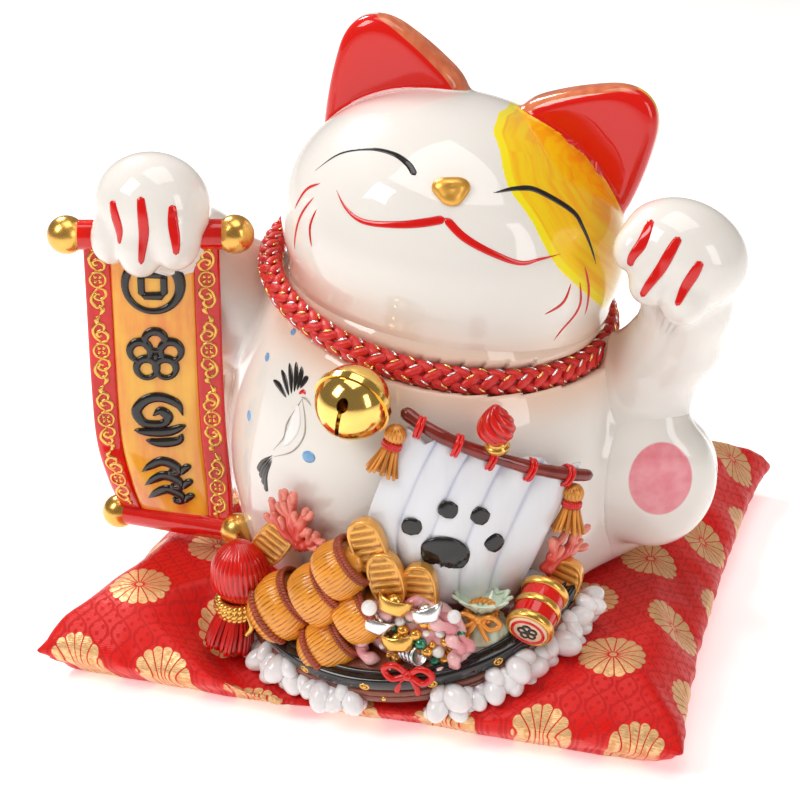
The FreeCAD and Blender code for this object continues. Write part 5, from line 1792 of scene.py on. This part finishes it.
@dataclass
class Cushion:
    """The square brocade cushion: a crowned shell stuffed by cloth pressure and pressed by the cat."""

    half: float = 149.0
    seat: float = 39.3
    seam: float = 12.0
    front: float = 157.0
    side: float = 150.5
    left: float = 142.0
    voxel: float = 5.0
    cap: float = 7.0
    pressure: float = 4.0
    stretch: float = 12.0
    bending: float = 0.3
    frames: int = 20
    spread: tuple[float, float] = (1.03, 0.05)

    def outline(self, count: int) -> Array:
        """The seam's line in plan: four bowed edges, each a parabola through corner, middle, corner."""
        s = np.arange(count) / count * 4
        side, t = s.astype(int), (s % 1.0)[:, None]
        c = np.array([(-1, -1), (1, -1), (1, 1), (-1, 1)], float) * self.half
        middle = np.array([(0, -self.front), (self.side, 0), (0, self.side), (-self.left, 0)])
        a, b, d = c[side], middle[side], c[(side + 1) % 4]
        return (1 - t) * (1 - 2 * t) * a + 4 * t * (1 - t) * b + t * (2 * t - 1) * d

    def shell(self) -> bpy.types.Object:
        """The shell before stuffing: z = seam + crown sqrt(1 - q^2), and a rounded turn to the floor."""
        ring = self.outline(240)
        rise = np.sin(np.linspace(0.05, 1, 22) * math.pi / 2)
        turn = np.sin(np.linspace(0.1, 1, 8) * math.pi / 2)
        k = np.concatenate([np.linspace(0.02, 0.5, 8), 0.5 + 0.5 * rise])
        crown = self.seam + (self.seat - 2 - self.seam) * np.sqrt(
            np.maximum(0.0, 1 - (np.maximum(k - 0.5, 0) / 0.5) ** 2.4))
        under = np.concatenate([1 - 0.09 * turn, np.linspace(0.85, 0.02, 7)])
        drop = np.concatenate([self.seam * (1 - turn) + 1.0, np.full(7, 1.0)])
        share, z = (np.concatenate(pair)[:, None, None] for pair in ((k, under), (crown, drop)))
        rows = np.concatenate([share * ring[None] * 0.985, np.broadcast_to(z, (len(share), 240, 1))], -1)
        pile = Pile()
        pile.grid(rows)
        mesh = bpy.data.meshes.new("cushion_shell")
        mesh.from_pydata((np.concatenate(pile.points) * MM).tolist(), [], pile.faces)
        obj = bpy.data.objects.new("cushion_shell", mesh)
        bpy.context.scene.collection.objects.link(obj)
        return obj

    @staticmethod
    def applied(obj: bpy.types.Object) -> bpy.types.Object:
        """The object with its modifiers made part of a fresh mesh."""
        graph = bpy.context.evaluated_depsgraph_get()
        fresh = bpy.data.meshes.new_from_object(obj.evaluated_get(graph))
        obj.modifiers.clear()
        obj.data = fresh
        return obj

    def stuff(self, obj: bpy.types.Object) -> None:
        """Swell the shell by cloth pressure, frame by frame, and cap how far each point moves."""
        before = self.read(obj.data)
        cloth = obj.modifiers.new("stuffing", "CLOTH")
        cloth.settings.use_pressure = True
        cloth.settings.uniform_pressure_force = self.pressure
        cloth.settings.effector_weights.gravity = 0.0
        cloth.settings.tension_stiffness = cloth.settings.compression_stiffness = self.stretch
        cloth.settings.bending_stiffness = self.bending
        cloth.collision_settings.use_collision = False
        scene = bpy.context.scene
        for frame_number in range(1, self.frames + 1):
            scene.frame_set(frame_number)
        self.applied(obj)
        moved = self.read(obj.data) - before
        length = np.linalg.norm(moved, axis=1, keepdims=True)
        swollen = before + moved * np.minimum(1.0, self.cap * MM / np.maximum(length, 1e-9))
        LOG.info("stuffing moved points up to %.1f mm", length.max() / MM)
        obj.data.vertices.foreach_set("co", swollen.ravel())
        scene.frame_set(1)

    @staticmethod
    def read(mesh: bpy.types.Mesh) -> Array:
        """A mesh's points, in metres."""
        out = np.empty(len(mesh.vertices) * 3)
        mesh.vertices.foreach_get("co", out)
        return out.reshape(-1, 3)

    def press(self, p: Array, boat: Boat) -> Array:
        """Flatten the points (mm) on the floor, under the cat and under the boat, and pucker the seam."""
        ring = self.outline(1200)
        d2 = (p[:, :2] ** 2).sum(1)[:, None] - 2 * p[:, :2] @ ring.T + (ring**2).sum(1)[None]
        nearest = d2.argmin(1)
        near = np.sqrt(np.maximum(d2[np.arange(len(p)), nearest], 0) + (p[:, 2] - self.seam) ** 2)
        s = nearest / 300.0
        corner = np.minimum(s % 1.0, 1 - s % 1.0)
        outward = unit(np.stack([p[:, 0] ** 3, p[:, 1] ** 3], -1))
        pucker = np.sin(s * 115) + 0.7 * np.sin(s * 67 + 1.0) + 0.5 * np.sin(s * 190 + 2.0)
        pucker *= np.exp(-near / 9.0)
        long_fold = np.sin(s * 23 + 0.6 * np.sin(s * 9)) + 0.6 * np.sin(s * 41 + 2.2)
        long_fold *= np.exp(-np.square((near - 16) / 15.0))
        groove = -1.7 * np.exp(-np.square(near / 1.8))
        p = p.copy()
        p[:, :2] += outward * (0.55 * pucker + 0.5 * long_fold + groove)[:, None]
        p[:, 2] += (0.35 * pucker + 1.1 * long_fold) * (p[:, 2] > 4) * (1 - 0.5 * np.exp(-corner * 20))
        flat = np.hypot(p[:, 0] - 5, p[:, 1] + 25)
        crease = 1.0 * np.sin(13 * np.arctan2(p[:, 1] + 25, p[:, 0] - 5) + 0.04 * flat) * np.exp(
            -np.square((flat - 112) / 16.0))
        p[:, 2] += crease * (p[:, 2] > 25)
        q = p - boat.centre
        up = boat.centre[2] - (q[:, 0] * boat.axis[0] + q[:, 1] * boat.axis[1]) / boat.axis[2]
        floor_of_boat = up - 14.5 / boat.axis[2]
        out = np.linalg.norm(q - (q @ boat.axis)[:, None] * boat.axis, axis=1) - boat.radius
        angle = np.arctan2(q @ np.cross(boat.axis, boat.first), q @ boat.first) / boat.sweep
        away = np.maximum(0, np.abs(out + 4) - 20) + np.maximum(0, np.abs(angle - 0.5) - 0.55) * 160
        top = p[:, 2] > self.seam
        p[:, 2] = np.where(top, soft_min(p[:, 2], floor_of_boat + 0.8 * away, 5.0), p[:, 2])
        p[:, 2] = np.where(top, soft_min(p[:, 2], np.full(len(p), self.seat), 1.0), p[:, 2])
        p[:, 2] = -soft_min(-p[:, 2], np.full(len(p), -0.25), 1.5)
        return p

    def build(self, boat: Boat) -> None:
        """Shell, stuffing, pressing, and the cloth's own coordinates."""
        obj = self.shell()
        even = obj.modifiers.new("even", "REMESH")
        even.mode, even.voxel_size = "VOXEL", self.voxel * MM
        self.applied(obj)
        self.stuff(obj)
        finer = obj.modifiers.new("finer", "SUBSURF")
        finer.levels = finer.render_levels = 1
        self.applied(obj)
        raw = self.read(obj.data) / MM
        corner = np.abs(raw[:, 0] * raw[:, 1]) / self.half**2
        raw[:, :2] *= (self.spread[0] + self.spread[1] * corner**2)[:, None]
        p = self.press(raw, boat)
        obj.data.vertices.foreach_set("co", (p * MM).ravel())
        outward = unit(np.stack([raw[:, 0] ** 3, raw[:, 1] ** 3], -1))
        over = raw[:, 2] > self.seam
        extra = np.where(over, 0.30 * (self.seat - raw[:, 2]), 8.0 + 0.9 * (self.seam - raw[:, 2]))
        cloth = raw[:, :2] + outward * extra[:, None]
        for name, value in (("cloth_x", cloth[:, 0]), ("cloth_y", cloth[:, 1]),
                            ("plain", smooth_step(raw[:, 0] - np.abs(raw[:, 1]), -30, 20)
                             * smooth_step(-raw[:, 2], -self.seam - 0.5, -self.seam + 0.5))):
            obj.data.attributes.new(name, "FLOAT", "POINT").data.foreach_set("value", value)
        bpy.context.scene.collection.objects.unlink(obj)
        obj.name = obj.data.name = "brocade_cushion"
        dress(obj, Body.CUSHION, BROCADE, "cushion_top_cover", "cushion_bottom_cover", "cushion_filling")


# Collar and bell ----------------------------------------------------------------------------------
@dataclass(frozen=True)
class Braid(Finish):
    """Glossy red cord: fine strands along each lobe, with painted shade between lobes."""

    def make(self) -> bpy.types.Material:
        """Wire the nodes."""
        n = Nodes("paint_" + self.name)
        hair = n.noise(n.place(), 1400.0, 4.0)
        share = n.math("ADD", n.value("wash"), n.ramp(hair, 0.35, 0.75, -0.1, 0.2))
        n.set(Base_Color=n.mix(n.ramp(share, 0.0, 1.0), self.colour, self.wash), Roughness=0.42,
              Sheen_Weight=0.08, Sheen_Roughness=0.35, Coat_Weight=0.25, Coat_Roughness=0.3)
        n.bump(hair, 0.00025, 0.7)
        return n.material


BRAID = Braid("braid", "braid", (0.70, 0.008, 0.003), (0.22, 0.001, 0.001))
TINSEL_GOLD = Finish("tinsel_gold", "braid", (0.92, 0.62, 0.22), roughness=0.2, coat=0.0, metallic=1.0)
TINSEL_SILVER = Finish("tinsel_silver", "braid", (0.86, 0.86, 0.88), roughness=0.2, coat=0.0, metallic=1.0)
BRASS = Finish("bell_brass", "bell_brass", (0.93, 0.62, 0.16), roughness=0.12, coat=0.3, metallic=1.0,
               mottle=0.05, grain=0.00002)
STEEL = Finish("steel_pellet", "steel_pellet", (0.5, 0.5, 0.52), roughness=0.3, coat=0.0, metallic=1.0)


@dataclass
class Collar:
    """The braided cord: plump lobes in six columns round a ring, leaning by turns, with tinsel threads."""

    core: float = 3.7
    lobes: int = 62
    columns: int = 6
    lean: float = 34.0
    lobe_radii: Array = field(default_factory=lambda: vec(5.6, 2.6, 2.4))
    thread_radii: Array = field(default_factory=lambda: vec(2.4, 0.55, 0.75))

    def build(self) -> None:
        """Core, lobes and tinsel."""
        u = unit(np.cross(NECK_AXIS, vec(0, 1, 0)))
        v = np.cross(NECK_AXIS, u)
        braid, tinsel = Pile(), (Pile(), Pile())
        a = angles(220)[:, None]
        ring = NECK_AT + COLLAR_RADIUS * (np.cos(a) * u + np.sin(a) * v)
        # The core between the lobes is painted wholly in the shade colour.
        braid.grid(tube(ring, self.core, NECK_AXIS, 10, loop=True), loop=True, wash=1.0)
        base = ball(vec(0, 0, 0), 1.0, 7, 10)
        for c in range(self.columns):
            turn = math.radians(self.lean if c % 2 else -self.lean)
            b = TAU * (c + 0.5) / self.columns
            for k in range(self.lobes):
                t = TAU * (k + 0.5 * (c % 2)) / self.lobes
                spoke = math.cos(t) * u + math.sin(t) * v
                along = np.cross(NECK_AXIS, spoke)
                out = math.cos(b) * spoke + math.sin(b) * NECK_AXIS
                across = np.cross(along, out)
                way = math.cos(turn) * along + math.sin(turn) * across
                axes = np.stack([way, np.cross(out, way), out])
                spot = NECK_AT + COLLAR_RADIUS * spoke + out * 3.45
                p = spot + (base * self.lobe_radii) @ axes
                # Painted shade: each lobe darker towards the core.
                braid.grid(p, wash=np.clip(0.55 - 0.5 * base[..., 2], 0, 1) * 0.75)
                beside = spot + out * 1.5 + np.cross(out, way) * 2.1 + way * 0.6
                q = beside + (base * self.thread_radii) @ axes
                tinsel[(k + c // 2) % 2].grid(q)
        braid.piece("braided_collar", BRAID, "collar_cord", rides=Body.COLLAR)
        tinsel[0].piece("collar_gold_threads", TINSEL_GOLD, rides=Body.COLLAR)
        tinsel[1].piece("collar_silver_threads", TINSEL_SILVER, rides=Body.COLLAR)


def dress_kept_nodes() -> None:
    """Give the CAD pieces that stay in view their finishes."""
    finishes = {"bell_upper_half": BRASS, "bell_lower_half": BRASS, "bell_rim": BRASS,
                "bell_shank": BRASS, "bell_eye": BRASS, "bell_pellet": STEEL, "cargo_bed": PLANKS}
    for node, finish in finishes.items():
        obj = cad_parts[node]
        obj.data.materials.clear()
        obj.data.materials.append(finish.material())
        LOG.info("%s keeps its CAD shape", node)


# Studio -------------------------------------------------------------------------------------------
@dataclass
class Studio:
    """A pale seamless floor, soft panels of light, and the camera."""

    eye: tuple[float, float, float] = (0.2439, -0.88807, 0.50245)
    tilt: float = 66.34
    pan: float = 16.49
    lens: float = 91.66
    floor_half: float = 20.0
    floor_glow: float = 0.46
    air: Colour = (1.0, 0.90, 0.80)
    air_strength: float = 0.24
    sheen: float = 0.45
    lamps: tuple = (("key_left", (-0.9, -0.9, 1.3), (0.6, 0.8), 12.5),
                    ("back_left", (-0.9, 0.7, 1.2), (0.4, 0.4), 12.0),
                    ("top", (0.1, -0.1, 1.5), (0.9, 0.9), 6.5),
                    ("fill_right", (1.3, -0.7, 0.7), (0.4, 0.9), 4.0))

    def build(self) -> None:
        """Set up floor, world, lights and camera."""
        scene = bpy.context.scene
        scene.view_settings.view_transform = "Standard"
        mesh = bpy.data.meshes.new("floor")
        square = ((-1, -1), (1, -1), (1, 1), (-1, 1))
        corners = [(x * self.floor_half, y * self.floor_half, 0) for x, y in square]
        mesh.from_pydata(corners, [], [(0, 1, 2, 3)])
        floor = bpy.data.objects.new("floor", mesh)
        scene.collection.objects.link(floor)
        n = Nodes("pale_floor")
        n.set(Base_Color=(0.93, 0.93, 0.93), Roughness=0.75, Specular_IOR_Level=0.15,
              Emission_Color=(1.0, 1.0, 1.0), Emission_Strength=self.floor_glow)
        mesh.materials.append(n.material)
        world = bpy.data.worlds.new("studio")
        scene.world = world
        world.use_nodes = True
        world.node_tree.nodes["Background"].inputs[0].default_value = (*self.air, 1.0)
        world.node_tree.nodes["Background"].inputs[1].default_value = self.air_strength
        for name, at, size, power in self.lamps:
            lamp = bpy.data.lights.new(name, "AREA")
            lamp.shape = "RECTANGLE"
            lamp.size, lamp.size_y, lamp.energy = size[0], size[1], power
            lamp.specular_factor = 1.0 if name == "back_left" else self.sheen
            obj = bpy.data.objects.new(name, lamp)
            obj.location = at
            aim = unit(np.array([0.0, -0.03, 0.14]) - np.array(at))
            pitch = math.acos(-aim[2])
            obj.rotation_euler = (pitch, 0.0, math.atan2(-aim[0], aim[1]))
            scene.collection.objects.link(obj)
        camera = bpy.data.cameras.new("camera")
        camera.lens, camera.sensor_width = self.lens, 36.0
        camera.clip_start, camera.clip_end = 0.01, 50.0
        view = bpy.data.objects.new("camera", camera)
        view.location = self.eye
        view.rotation_euler = (math.radians(self.tilt), 0.0, math.radians(self.pan))
        scene.collection.objects.link(view)
        scene.camera = view


def main() -> None:
    """Build every sub-assembly in order."""
    Studio().build()
    cat = Ceramic()
    cat.build()
    Brushwork(cat).build()
    belly = Belly()
    for part in (Scroll(), Boat(), ProwTassel(), Sail(belly), Cargo(belly)):
        LOG.info("building %s", type(part).__name__)
        part.build()
    Cushion().build(Boat())
    Collar().build()
    dress_kept_nodes()


if __name__ == "__main__":
    logging.basicConfig(level=logging.INFO, format="%(name)s %(message)s")
    main()
